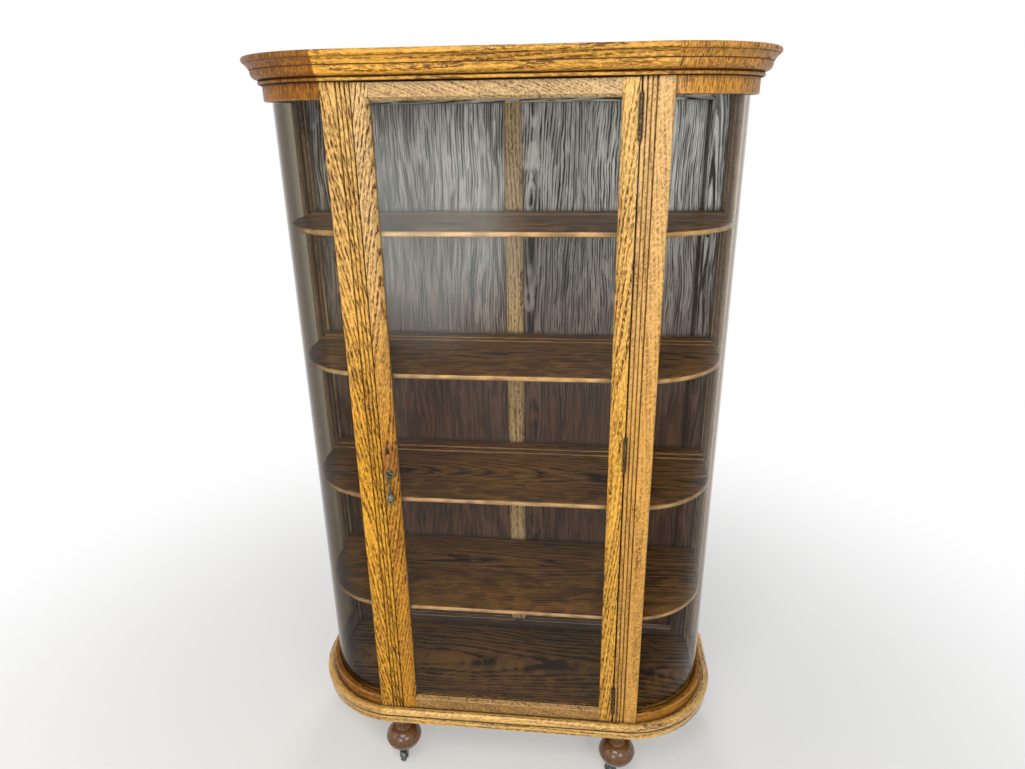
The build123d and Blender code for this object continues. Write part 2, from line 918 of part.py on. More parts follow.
def pull_stud():
    """Stud that goes through the rosette into the stile."""
    x, _, z = pull_axis()
    return Pos(x, front_y + stud_length / 2, z) * Rot(90, 0, 0) * Cylinder(stud_radius, stud_length)


def pull_plate():
    """Oval plate with two ears, the pin between them and a stud into the stile."""
    x, y, z = pull_axis()
    face = Plane(origin=(x, front_y, z), x_dir=(1, 0, 0), z_dir=(0, -1, 0))
    plate = extrude(face * Ellipse(rosette_width / 2, rosette_height / 2), rosette_thickness)
    rim = plate.edges().group_by(Axis.Y)[0]
    plate = fillet(rim, rosette_thickness * 0.6)
    ear_radius = pull_eye_radius - 0.2
    for side in (-1, 1):
        middle = x + side * (pull_ear_gap + pull_ear) / 2
        arm = block(
            (middle - pull_ear / 2, y, z - ear_radius),
            (middle + pull_ear / 2, front_y - 0.5, z + ear_radius),
        )
        plate = plate + arm + Pos(middle, y, z) * Rot(0, 90, 0) * Cylinder(ear_radius, pull_ear)
    pin_length = pull_ear_gap + 2 * pull_ear + 0.8
    pin = Pos(x, y, z) * Rot(0, 90, 0) * Cylinder(pull_pin_radius, pin_length)
    return plate + pin + pull_stud()


def pull_drop():
    """Hanging drop: an eye on the pin, a slim neck and a leaf-shaped end."""
    x, y, z = pull_axis()
    leaf_top = drop_leaf_length - drop_length
    neck = drop_neck / 2
    widest = leaf_top - drop_leaf_length * 0.45
    with BuildSketch() as outline:
        with BuildLine():
            Line((-neck, 0), (neck, 0))
            Line((neck, 0), (neck, leaf_top))
            ThreePointArc((neck, leaf_top), (drop_width / 2, widest), (0, -drop_length))
            ThreePointArc((0, -drop_length), (-drop_width / 2, widest), (-neck, leaf_top))
            Line((-neck, leaf_top), (-neck, 0))
        make_face()
    front = Plane(origin=(x, y - drop_thickness / 2, z), x_dir=(1, 0, 0), z_dir=(0, -1, 0))
    leaf = extrude(front * outline.sketch, -drop_thickness)
    faces = leaf.faces().sort_by(Axis.Y)
    rims = faces[0].edges() + faces[-1].edges()
    leaf = chamfer(rims, 0.8)
    eye_slot = block(
        (x - drop_width, y - drop_thickness, z - pull_eye_radius * 1.2),
        (x + drop_width, y + drop_thickness, z + 1),
    )
    neck_block = block(
        (x - pull_eye_width / 2, y - 1.4, z - pull_eye_radius * 1.8),
        (x + pull_eye_width / 2, y + 1.4, z),
    )
    eye = Pos(x, y, z) * Rot(0, 90, 0) * Cylinder(pull_eye_radius, pull_eye_width)
    bore = Pos(x, y, z) * Rot(0, 90, 0) * Cylinder(pull_pin_radius + running_clearance, drop_width)
    return leaf - eye_slot + neck_block + eye - bore


def make_pull():
    return {"pull_plate": single(pull_plate()), "pull_drop": single(pull_drop())}


# ---------------------------------------------------------------- hinges
def hinge_levels():
    """Middle height of each of the three hinges."""
    return (
        base_top + hinge_end_distance,
        base_top + case_height / 2,
        case_top - hinge_end_distance,
    )


def hinge_line():
    """Plan point of the hinge pins: in the middle of the gap, in front of the face."""
    return opening_half - hinge_gap / 2, front_y - hinge_proud


def hinge_leaf(level, side):
    """One leaf: side is 1 for the pilaster's leaf and -1 for the door's."""
    x, y = hinge_line()
    thickness = (hinge_gap - leaf_gap) / 2
    near = x + side * leaf_gap / 2
    far = near + side * thickness
    x_low, x_high = sorted((near, far))
    low = level - hinge_length / 2
    step = hinge_length / knuckle_count
    leaf_start = y + knuckle_radius + 0.4
    leaf = block((x_low, leaf_start, low), (x_high, front_y + leaf_depth, low + hinge_length))
    own = range(0, knuckle_count, 2) if side > 0 else range(1, knuckle_count, 2)
    for i in own:
        bottom = low + i * step + knuckle_gap / 2
        height = step - knuckle_gap
        knuckle = Pos(x, y, bottom + height / 2) * Cylinder(knuckle_radius, height)
        web = block((x_low, y, bottom), (x_high, y + knuckle_radius + 1, bottom + height))
        leaf = leaf + knuckle + web
    bore = Pos(x, y, level) * Cylinder(hinge_pin_radius + running_clearance, hinge_length + 2)
    return leaf - bore


def hinge_screw(level, offset, side):
    """A countersunk screw through a leaf, driven sideways into the wood."""
    x = hinge_line()[0] + side * leaf_gap / 2
    y = front_y + leaf_depth * 0.55
    plane = Plane(origin=(x, y, level + offset), x_dir=(0, 1, 0), z_dir=(side, 0, 0))
    head = Cone(screw_head_radius, screw_radius, screw_head_length)
    shank = Cylinder(screw_radius, screw_length)
    screw = Pos(0, 0, screw_head_length / 2) * head + Pos(0, 0, screw_length / 2) * shank
    return plane.location * screw


def hinge_screws(side):
    """All the screws of one side's leaves."""
    reach = hinge_length / 2 - screw_edge_distance
    return [hinge_screw(level, offset, side) for level in hinge_levels() for offset in (-reach, 0, reach)]


def make_hinges():
    nodes = {}
    for side, name in ((1, "frame"), (-1, "door")):
        screws = hinge_screws(side)
        leaves = []
        for level in hinge_levels():
            leaf = hinge_leaf(level, side)
            for screw in screws:
                if abs(screw.center().Z - level) < hinge_length / 2:
                    leaf = leaf - screw
            leaves.append(single(leaf))
        nodes[f"hinge_{name}_leaves"] = Compound(leaves)
        nodes[f"hinge_{name}_screws"] = Compound([single(screw) for screw in screws])
    x, y = hinge_line()
    pins = []
    for level in hinge_levels():
        pin = Pos(x, y, level) * Cylinder(hinge_pin_radius, hinge_length + 2)
        for end in (-1, 1):
            pin = pin + Pos(x, y, level + end * (hinge_length / 2 + tip_radius)) * Sphere(tip_radius)
        pins.append(single(pin))
    nodes["hinge_pins"] = Compound(pins)
    return nodes


# ---------------------------------------------------------------- feet and casters
def foot_shape():
    """A turned ball on a coved neck, under a round collar with a tenon above it."""
    centre = ball_half_height * sqrt(1 - (foot_flat_radius / ball_radius) ** 2)
    neck_rise = ball_half_height * sqrt(1 - (neck_radius / ball_radius) ** 2)
    flat_edge = (foot_flat_radius, 0)
    widest = (ball_radius, centre)
    neck = (neck_radius, centre + neck_rise)
    shoulder_x = ball_radius * 0.8
    shoulder_rise = ball_half_height * 0.6
    collar_low = foot_height - collar_height
    collar_start = (collar_radius - 4.0, collar_low)
    collar_end = (collar_radius - 2.0, collar_low + 12.0)
    with BuildSketch() as sketch:
        with BuildLine():
            Line((0, 0), flat_edge)
            ThreePointArc(flat_edge, (shoulder_x, centre - shoulder_rise), widest)
            ThreePointArc(widest, (shoulder_x, centre + shoulder_rise), neck)
            ThreePointArc(neck, (neck_radius - 1.5, (neck[1] + collar_low) / 2), collar_start)
            ThreePointArc(collar_start, (collar_radius, collar_low + 6.0), collar_end)
            Polyline(
                collar_end,
                (collar_end[0], foot_height),
                (tenon_radius, foot_height),
                (tenon_radius, foot_height + tenon_length),
                (0, foot_height + tenon_length),
                (0, 0),
            )
        make_face()
    body = revolve(Plane.XZ * sketch.sketch, Axis.Z, 360)
    bore = Pos(0, 0, socket_depth / 2) * Cylinder(socket_sleeve_radius + socket_play, socket_depth + 2)
    return body - bore


def caster_socket():
    """Flange and sleeve let into the foot for a caster's stem."""
    flange = Pos(0, 0, -socket_flange_thickness / 2) * Cylinder(socket_flange_radius, socket_flange_thickness)
    sleeve = Pos(0, 0, socket_depth / 2 - 0.5) * Cylinder(socket_sleeve_radius, socket_depth - 1)
    bore = Cylinder(stem_radius + running_clearance, 2 * socket_depth - stem_spare)
    return flange + sleeve - bore


def caster_fork(direction):
    """Stem, disc and two arms that trail the wheel towards a plan direction in degrees."""
    disc_top = caster_height - socket_flange_thickness - thrust_gap
    disc_low = disc_top - fork_disc_thickness
    stem_length = socket_depth - stem_spare
    stem = Pos(0, 0, disc_top + stem_length / 2) * Cylinder(stem_radius, stem_length)
    disc = Pos(0, 0, (disc_top + disc_low) / 2) * Cylinder(fork_disc_radius, fork_disc_thickness)
    inner = wheel_width / 2 + wheel_side_gap
    outer = inner + fork_plate_thickness
    arm_top = disc_low + 1.0
    near_axle = (caster_trail - 4.6, wheel_radius - 1.5)
    past_axle = (caster_trail + 4.8, wheel_radius - 1.0)
    with BuildSketch() as sketch:
        with BuildLine():
            Polyline((-5.0, arm_top), (-4.0, disc_low - 2.0), near_axle)
            ThreePointArc(near_axle, (caster_trail, wheel_radius - 5.0), past_axle)
            Polyline(past_axle, (caster_trail + 2.0, disc_low - 3.0), (8.0, arm_top), (-5.0, arm_top))
        make_face()
    side_view = Plane(origin=(0, outer, 0), x_dir=(1, 0, 0), z_dir=(0, -1, 0))
    arm = extrude(side_view * sketch.sketch, fork_plate_thickness)
    other = mirror(arm, Plane.XZ)
    axle = Rot(90, 0, 0) * Cylinder(axle_radius, 2 * (outer + axle_end))
    axle = Pos(caster_trail, 0, wheel_radius) * axle
    fork = stem + disc + arm + other + axle
    return Rot(0, 0, direction) * fork


def caster_wheel(direction):
    """A crowned metal wheel, dished between rim and hub, bored for its axle."""
    half = wheel_width / 2
    bore = axle_radius + running_clearance
    rim = (wheel_radius - 2.6, half - 0.6)
    side = [(bore, half), (5.0, half), (5.6, half - 1.6), (wheel_radius - 3.6, half - 1.6), rim]
    other_side = [(x, -y) for x, y in reversed(side)]
    with BuildSketch() as sketch:
        with BuildLine():
            Polyline((bore, -half), *side)
            ThreePointArc(rim, (wheel_radius, 0), other_side[0])
            Polyline(*other_side)
        make_face()
    wheel = revolve(Plane.XZ * sketch.sketch, Axis.Z, 360)
    return Rot(0, 0, direction) * Pos(caster_trail, 0, wheel_radius) * Rot(90, 0, 0) * wheel


def make_feet():
    feet = []
    sockets = []
    nodes = {}
    for name, (x, y) in foot_places().items():
        feet.append(Pos(x, y, caster_height) * foot_shape())
        sockets.append(Pos(x, y, caster_height) * caster_socket())
        nodes[f"caster_fork_{name}"] = Pos(x, y, 0) * caster_fork(trailing[name])
        nodes[f"caster_wheel_{name}"] = Pos(x, y, 0) * caster_wheel(trailing[name])
    nodes["ball_feet"] = Compound([single(foot) for foot in feet])
    nodes["caster_sockets"] = Compound([single(socket) for socket in sockets])
    return nodes


# ---------------------------------------------------------------- assembly
def make_all():
    nodes = {}
    for maker in (
        make_base,
        make_boards,
        make_pilasters,
        make_posts,
        make_bent_rails,
        make_side_panes,
        make_side_beads,
        make_cornice,
        make_back,
        make_shelves,
        make_door_stops,
        make_door,
        make_lock,
        make_strike,
        make_pull,
        make_hinges,
        make_feet,
    ):
        nodes.update(maker())
    plate_recess, bolt_pocket = strike_cutters()
    nodes["pilaster_left"] = nodes["pilaster_left"] - plate_recess - bolt_pocket
    for side, node in ((1, "pilaster_right"), (-1, "door_stile_right")):
        for screw in hinge_screws(side):
            nodes[node] = nodes[node] - screw
    return nodes


os.makedirs("parts", exist_ok=True)
for node_name, node_shape in make_all().items():
    export_step(node_shape, f"parts/{node_name}.step")
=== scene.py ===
# %% [markdown]
# # An oak china cabinet with bent glass
#
# The cabinet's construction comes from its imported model: every piece is already in its
# place, in metres. This notebook gives it its looks. Straight boards keep the model's
# shapes and only have their sharp arrises rubbed round. The bent mouldings and panes all
# follow a path of the same kind, so Geometry Nodes draw them. One oak, driven by a grain
# direction that each piece carries, covers nearly everything that isn't glass or metal.

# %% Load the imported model
import json
import math
from contextlib import contextmanager

import bmesh
import bpy
import numpy as np
from mathutils import Matrix, Vector

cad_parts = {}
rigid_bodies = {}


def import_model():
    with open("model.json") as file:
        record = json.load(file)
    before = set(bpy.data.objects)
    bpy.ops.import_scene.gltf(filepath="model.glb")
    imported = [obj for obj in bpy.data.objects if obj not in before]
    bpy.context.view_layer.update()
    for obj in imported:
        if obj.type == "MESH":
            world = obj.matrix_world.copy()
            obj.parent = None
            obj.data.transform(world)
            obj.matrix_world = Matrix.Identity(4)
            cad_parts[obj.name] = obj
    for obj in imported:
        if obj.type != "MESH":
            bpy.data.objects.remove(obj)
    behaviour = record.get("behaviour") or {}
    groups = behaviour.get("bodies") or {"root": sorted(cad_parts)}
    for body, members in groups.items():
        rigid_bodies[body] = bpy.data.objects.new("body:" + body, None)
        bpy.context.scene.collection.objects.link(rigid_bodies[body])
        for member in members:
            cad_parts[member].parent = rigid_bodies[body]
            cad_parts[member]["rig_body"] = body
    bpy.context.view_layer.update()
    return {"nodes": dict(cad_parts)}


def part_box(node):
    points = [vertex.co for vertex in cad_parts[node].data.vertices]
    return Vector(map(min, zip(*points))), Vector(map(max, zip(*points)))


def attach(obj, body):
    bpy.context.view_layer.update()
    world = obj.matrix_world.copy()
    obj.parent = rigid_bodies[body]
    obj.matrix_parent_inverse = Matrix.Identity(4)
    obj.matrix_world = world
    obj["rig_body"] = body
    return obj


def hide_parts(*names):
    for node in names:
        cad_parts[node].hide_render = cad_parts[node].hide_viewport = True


for leftover in list(bpy.data.objects):
    bpy.data.objects.remove(leftover)
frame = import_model()
model = frame["nodes"]

# %% [markdown]
# ## Where things are
#
# The cabinet's plan is a D: a straight front, two quarter bends and straight sides. Nearly
# every place below is read from the model's own boxes, so that nothing has to be measured
# twice. Only the radius of the bends and the play of the floor board inside that plan are
# written here again, since no box shows them.

# %% The plan of the cabinet
mm = 0.001
bend_radius = 192 * mm
board_play = 0.3 * mm
board_low, board_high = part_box("floor_board")
side_line = board_high.x + board_play
front_line = board_low.y - board_play
back_line = board_high.y
pilaster_low, pilaster_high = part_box("pilaster_right")
pilaster_edge = pilaster_high.x
case_bottom, case_top = pilaster_low.z, pilaster_high.z
print("plan lines", [round(v, 4) for v in (side_line, front_line, back_line)])
print("case from", round(case_bottom, 3), "to", round(case_top, 3))

# %% [markdown]
# ## The camera
#
# The view looks down on the cabinet from just above its top, a little to its right, through
# a wide lens, so the cabinet narrows strongly towards its feet. The camera is placed before
# anything is dressed, because every later choice is judged through it.


# %% Camera
def in_scene(name, data):
    """A new object that holds the data, linked to the scene."""
    thing = bpy.data.objects.new(name, data)
    bpy.context.scene.collection.objects.link(thing)
    return thing


camera_place = Vector((0.1568, -1.3421, 1.4274))
pitch, yaw, roll = (math.radians(a) for a in (20.95, -6.29, -0.845))
lens_mm, sensor_mm = 24.93, 36.0

forward = Vector((math.sin(yaw) * math.cos(pitch), math.cos(yaw) * math.cos(pitch), -math.sin(pitch)))
level = Vector((math.cos(yaw), -math.sin(yaw), 0))
upward = level.cross(forward)
right_hand = level * math.cos(roll) + upward * math.sin(roll)
head_up = upward * math.cos(roll) - level * math.sin(roll)
camera = in_scene("camera", bpy.data.cameras.new("camera"))
turn = Matrix((right_hand, head_up, -forward)).transposed()
camera.matrix_world = Matrix.Translation(camera_place) @ turn.to_4x4()
camera.data.lens = lens_mm
camera.data.sensor_width = sensor_mm
bpy.context.scene.camera = camera
print("camera at", [round(v, 3) for v in camera_place], "with a lens of", lens_mm, "mm")

# %% [markdown]
# ## Node helpers
#
# Materials and modifiers are both node trees. These few helpers add a node, set its numbers
# and join its sockets, so each recipe further down reads as a list of steps.


# %% Node helpers
def add_node(tree, kind, settings=None, **inputs):
    """A node with its settings made and its inputs filled or joined."""
    node = tree.nodes.new(kind)
    for name, value in (settings or {}).items():
        setattr(node, name, value)
    fill(tree, node, **inputs)
    return node


def fill(tree, node, **inputs):
    """Fills or joins a node's inputs. Their names are written with _ for spaces."""
    for name, value in inputs.items():
        wire(tree, value, socket_named(node, name))


def socket_named(node, name):
    """An input by name, or by number when its name is written _0, _1 and so on."""
    if name[0] == "_" and name[1:].isdigit():
        return node.inputs[int(name[1:])]
    wanted = name.replace("_", " ").lower()
    return next(s for s in node.inputs if s.name.lower() == wanted and s.enabled)


def wire(tree, value, socket):
    """Joins a socket to another, or writes a plain number, colour or vector into it."""
    if isinstance(value, bpy.types.NodeSocket):
        tree.links.new(value, socket)
    else:
        socket.default_value = value


def maths(tree, operation, a, b=0.0, c=0.0, clamp=False):
    """The result of one Math node."""
    settings = {"operation": operation, "use_clamp": clamp}
    return add_node(tree, "ShaderNodeMath", settings, _0=a, _1=b, _2=c).outputs[0]


def ramp(tree, value, low, high, to_low=0.0, to_high=1.0):
    """A smooth step from one value to another."""
    node = add_node(tree, "ShaderNodeMapRange", {"interpolation_type": "SMOOTHSTEP"}, Value=value)
    for name, number in (("From Min", low), ("From Max", high), ("To Min", to_low), ("To Max", to_high)):
        wire(tree, number, node.inputs[name])
    return node.outputs["Result"]


def blend_colour(tree, share, a, b):
    """Two colours mixed by a share from 0 to 1. A Mix node's colour sockets are 6, 7 and 2."""
    return add_node(tree, "ShaderNodeMix", {"data_type": "RGBA"}, _0=share, _6=a, _7=b).outputs[2]


def stretched_noise(tree, place, along, across, detail=2.0, roughness=0.55, offset=0.0):
    """Noise drawn out along the grain: along and across are its frequencies per metre."""
    scaled = add_node(
        tree, "ShaderNodeVectorMath", {"operation": "MULTIPLY_ADD"},
        _0=place, _1=(along, across, across), _2=(offset, offset, offset),
    ).outputs[0]
    noise = add_node(
        tree, "ShaderNodeTexNoise", {"noise_dimensions": "3D"},
        Vector=scaled, Scale=1.0, Detail=detail, Roughness=roughness,
    )
    return noise.outputs["Fac"]


def raise_relief(tree, shader, height, distance, strength):
    """A shallow relief on the shader's surface, from a height that varies over it."""
    relief = add_node(tree, "ShaderNodeBump", Strength=strength, Distance=distance, Height=height)
    wire(tree, relief.outputs["Normal"], shader.inputs["Normal"])


def new_material(name):
    """A material, its tree and its main shader."""
    material = bpy.data.materials.new(name)
    material.use_nodes = True
    return material, material.node_tree, material.node_tree.nodes["Principled BSDF"]


def shader_group(name, inputs, outputs):
    """An empty shader group and its two end nodes. The default of an input tells its kind:
    one number is a value, three are a vector and four are a colour."""
    group = bpy.data.node_groups.new(name, "ShaderNodeTree")
    for label, default in inputs.items():
        kind = {3: "Vector", 4: "Color"}[len(default)] if isinstance(default, tuple) else "Float"
        socket = group.interface.new_socket(label, in_out="INPUT", socket_type="NodeSocket" + kind)
        socket.default_value = default
    for label, kind in outputs.items():
        group.interface.new_socket(label, in_out="OUTPUT", socket_type="NodeSocket" + kind)
    return group, group.nodes.new("NodeGroupInput"), group.nodes.new("NodeGroupOutput")


# %% [markdown]
# ## The figure of oak
#
# Oak's look comes from growth rings cut by the saw. Each ring starts with a band of large
# open pores, which stain dark, and ends in dense pale wood. A board sawn near the bark
# cuts the rings at a slant and shows arches, and a quartered board shows straight lines
# crossed by bright ray flecks. So the group measures the distance to an imagined heart of
# the tree and turns it into rings. The same group serves every board: what changes is how
# far away the heart lies, how wide the rings are and how many flecks show.

# %% Oak figure group
tree, src, out = shader_group(
    "oak figure",
    {
        "Place": (0, 0, 0), "Pale": (0.6, 0.3, 0.08, 1), "Dark": (0.2, 0.08, 0.02, 1),
        "Ring Width": 0.006, "Ring Contrast": 0.3, "Heart Distance": 0.06, "Waviness": 0.012,
        "Arching": 0.0, "Pores Per Metre": 60.0, "Pore Rows": 400.0, "Pores": 0.8, "Flecks": 0.2,
    },
    {"Color": "Color", "Height": "Float", "Pore": "Float"},
)
oak_figure = tree
place = src.outputs["Place"]
parts = add_node(tree, "ShaderNodeSeparateXYZ", Vector=place)
waviness = src.outputs["Waviness"]
slow_bend = maths(tree, "SUBTRACT", stretched_noise(tree, place, 1.6, 5.0, 2.0), 0.5)
quick_bend = maths(tree, "SUBTRACT", stretched_noise(tree, place, 14.0, 60.0, 2.0, offset=3.1), 0.5)
heart_drift = maths(tree, "SUBTRACT", stretched_noise(tree, place, 1.1, 0.8, 1.0, offset=7.7), 0.5)
wide_sway = maths(tree, "MULTIPLY", waviness, 4.0)
sideways = maths(tree, "MULTIPLY_ADD", slow_bend, wide_sway, parts.outputs["Y"])
sideways = maths(tree, "MULTIPLY_ADD", quick_bend, maths(tree, "MULTIPLY", waviness, 0.35), sideways)
inwards = maths(tree, "MULTIPLY_ADD", heart_drift, 0.10, parts.outputs["Z"])
inwards = maths(tree, "ADD", inwards, src.outputs["Heart Distance"])
squares = (maths(tree, "POWER", way, 2.0) for way in (sideways, inwards))
heart_radius = maths(tree, "SQRT", maths(tree, "ADD", *squares))
rings = maths(tree, "DIVIDE", heart_radius, src.outputs["Ring Width"])
round_heart = maths(tree, "SUBTRACT", heart_radius, sideways)
outwards = maths(tree, "MULTIPLY_ADD", round_heart, src.outputs["Arching"], sideways)
ring_place = add_node(
    tree, "ShaderNodeCombineXYZ", X=parts.outputs["X"], Y=outwards, Z=parts.outputs["Z"],
).outputs[0]
phase = maths(tree, "FRACT", rings)
ring_number = maths(tree, "FLOOR", rings)
ring_tone = add_node(
    tree, "ShaderNodeTexWhiteNoise", {"noise_dimensions": "1D"}, W=ring_number,
).outputs["Value"]
porous = maths(tree, "MAXIMUM", ramp(tree, phase, 0.12, 0.6, 1.0, 0.0), ramp(tree, phase, 0.92, 1.0))
porous = maths(tree, "MULTIPLY", porous, ramp(tree, ring_tone, 0.0, 1.0, 0.5, 1.0))


def pore_rows(length_scale, row_scale, low, high, offset):
    """Short dark dashes in rows, with their own stretch along and across the grain."""
    along = maths(tree, "MULTIPLY", src.outputs["Pores Per Metre"], length_scale)
    across = maths(tree, "MULTIPLY", src.outputs["Pore Rows"], row_scale)
    stretch = add_node(tree, "ShaderNodeCombineXYZ", X=along, Y=across, Z=across).outputs[0]
    moved = add_node(
        tree, "ShaderNodeVectorMath", {"operation": "MULTIPLY_ADD"},
        _0=ring_place, _1=stretch, _2=(offset, offset, offset),
    ).outputs[0]
    noise = add_node(
        tree, "ShaderNodeTexNoise", {"noise_dimensions": "3D"}, Vector=moved, Scale=1.0, Detail=1.0,
    )
    return ramp(tree, noise.outputs["Fac"], low, high)


coarse_pores = pore_rows(1.0, 1.0, 0.45, 0.56, 1.3)
fine_pores = pore_rows(2.1, 2.3, 0.47, 0.59, 5.9)
pore = maths(tree, "MAXIMUM", coarse_pores, maths(tree, "MULTIPLY", fine_pores, 0.75))
crowding = maths(tree, "MULTIPLY_ADD", porous, 0.45, 0.55)
pore = maths(tree, "MULTIPLY", maths(tree, "MULTIPLY", pore, crowding), src.outputs["Pores"])
streaks = stretched_noise(tree, ring_place, 7.0, 150.0, 3.0, 0.6, offset=9.2)
fibre = stretched_noise(tree, ring_place, 22.0, 620.0, 1.0, offset=4.4)
cloud = stretched_noise(tree, place, 2.6, 11.0, 2.0, offset=2.2)
fleck_place = add_node(
    tree, "ShaderNodeVectorRotate", {"rotation_type": "Z_AXIS"}, Vector=place, Angle=math.radians(28),
).outputs[0]
flecks = ramp(tree, stretched_noise(tree, fleck_place, 260.0, 80.0, 1.0, offset=6.6), 0.54, 0.68)
flecks = maths(tree, "MULTIPLY", flecks, src.outputs["Flecks"])
pore_darkness = maths(tree, "MULTIPLY", pore, 0.8)
darkness = maths(tree, "MULTIPLY_ADD", porous, src.outputs["Ring Contrast"], pore_darkness)
for pattern, weight in ((streaks, 1.1), (fibre, 0.5), (cloud, 0.7)):
    darkness = maths(tree, "MULTIPLY_ADD", maths(tree, "SUBTRACT", pattern, 0.5), weight, darkness)
darkness = maths(tree, "SUBTRACT", darkness, maths(tree, "MULTIPLY", flecks, 0.5), clamp=True)
tinted = blend_colour(tree, darkness, src.outputs["Pale"], src.outputs["Dark"])
height = maths(tree, "MULTIPLY_ADD", pore, -1.0, maths(tree, "MULTIPLY", fibre, 0.15))
height = maths(tree, "MULTIPLY_ADD", porous, -0.12, height)
fill(tree, out, Color=tinted, Height=height, Pore=pore)
print("oak figure group:", len(tree.nodes), "nodes")

# %% [markdown]
# ## Wear, dirt and painted shade
#
# A century of hands rubs varnish off the arrises, while polish and dust settle in the
# grooves. Worn arrises are marked on the mesh when it is rounded, so the shader only has
# to break the mark up with noise; on the shelves' edges the same mark is a painted
# highlight. Ambient occlusion over about a centimetre darkens what lies in a groove or
# against another board, which is partly settled dirt and partly painted shade. Dark lines
# drawn on the mesh add to it.

# %% Wear, dirt and painted shade group
tree, src, out = shader_group(
    "wear and grime",
    {
        "Color": (0.5, 0.5, 0.5, 1), "Place": (0, 0, 0), "Rubbed": 0.0, "Openness": 1.0,
        "Wear": 0.5, "Bare": (0.86, 0.58, 0.27, 1), "Grime": 0.7,
    },
    {"Color": "Color", "Dullness": "Float"},
)
wear_dirt_and_shade = tree
# The colour of settled dirt, also used as painted shade.
dirt_and_shade_colour = (0.022, 0.009, 0.003, 1)
patches = stretched_noise(tree, src.outputs["Place"], 30.0, 60.0, 3.0, offset=8.8)
# The worn mark makes the wood paler; on the shelves' edges it is a painted highlight.
rubbed = maths(tree, "MULTIPLY", src.outputs["Rubbed"], ramp(tree, patches, 0.3, 0.65, 0.4, 1.0))
rubbed = maths(tree, "MULTIPLY", rubbed, src.outputs["Wear"])
paler = blend_colour(tree, rubbed, src.outputs["Color"], src.outputs["Bare"])
# Darker where ambient occlusion finds little open air: settled dirt, and painted shade as well.
sheltered_share = ramp(tree, src.outputs["Openness"], 0.38, 0.98, 1.0, 0.0)
darkening = maths(tree, "MULTIPLY", sheltered_share, src.outputs["Grime"], clamp=True)
dullness = maths(tree, "MULTIPLY_ADD", darkening, 0.25, maths(tree, "MULTIPLY", patches, 0.08))
fill(tree, out, Color=blend_colour(tree, darkening, paler, dirt_and_shade_colour), Dullness=dullness)
print("wear and grime group:", len(tree.nodes), "nodes")

# %% [markdown]
# ## Painted sheen and hands
#
# Painted sheen: the wood is made paler near the cabinet's top and towards its right side,
# where the light falls strongest, and stays brown near the floor. Round the pull, fingers
# have left a darker, redder patch. Both depend on where a spot lies on the cabinet, so this
# group reads the piece's own coordinates. Only the pale wood between the pores takes the painted sheen.

# %% Painted sheen and hands group
tree, src, out = shader_group(
    "painted sheen and hands",
    {
        "Color": (0.5, 0.5, 0.5, 1), "Spot": (0, 0, 0), "Bleach": 0.0,
        "Bleached": (0.88, 0.64, 0.34, 1), "Handling": 0.0, "Handled At": (0, 0, 0),
    },
    {"Color": "Color"},
)
sheen_and_hands = tree
handled_colour = (0.33, 0.11, 0.035, 1)
where = add_node(tree, "ShaderNodeSeparateXYZ", Vector=src.outputs["Spot"])
# Painted sheen: paler near the top and towards the right, where the light falls strongest.
sheen_share = maths(tree, "MULTIPLY", ramp(tree, where.outputs["Z"], 0.75, 1.5), src.outputs["Bleach"])
sheen_share = maths(tree, "MULTIPLY", ramp(tree, where.outputs["X"], -0.45, 0.4, 0.55, 1.0), sheen_share)
sheened = blend_colour(tree, sheen_share, src.outputs["Color"], src.outputs["Bleached"])
reach = add_node(
    tree, "ShaderNodeVectorMath", {"operation": "DISTANCE"},
    _0=src.outputs["Spot"], _1=src.outputs["Handled At"],
).outputs["Value"]
smears = stretched_noise(tree, src.outputs["Spot"], 90.0, 90.0, 3.0, 0.6)
smears = ramp(tree, maths(tree, "MULTIPLY_ADD", reach, -5.0, smears), 0.2, 0.34)
handled = maths(tree, "MULTIPLY", smears, src.outputs["Handling"])
fill(tree, out, Color=blend_colour(tree, handled, sheened, handled_colour))
print("painted sheen and hands group:", len(tree.nodes), "nodes")

# %% [markdown]
# ## Varnished oak
#
# Each oak below is the three groups with its own colours, figure and gloss. The mesh
# carries the grain's direction in an attribute: its X runs along the grain, and each piece
# is shifted to its own part of the tree, so no two boards repeat. The varnish is the
# shader's clear coat, and pores show through it as a shallow bump.


# %% Oak material
plate_low, plate_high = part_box("pull_plate")
above_plate = 12 * mm
handled_spot = ((plate_low.x + plate_high.x) / 2, plate_low.y, plate_high.z + above_plate)
sheltered_within = 12 * mm
pore_relief = 0.25 * mm
varnish_shine = 0.14


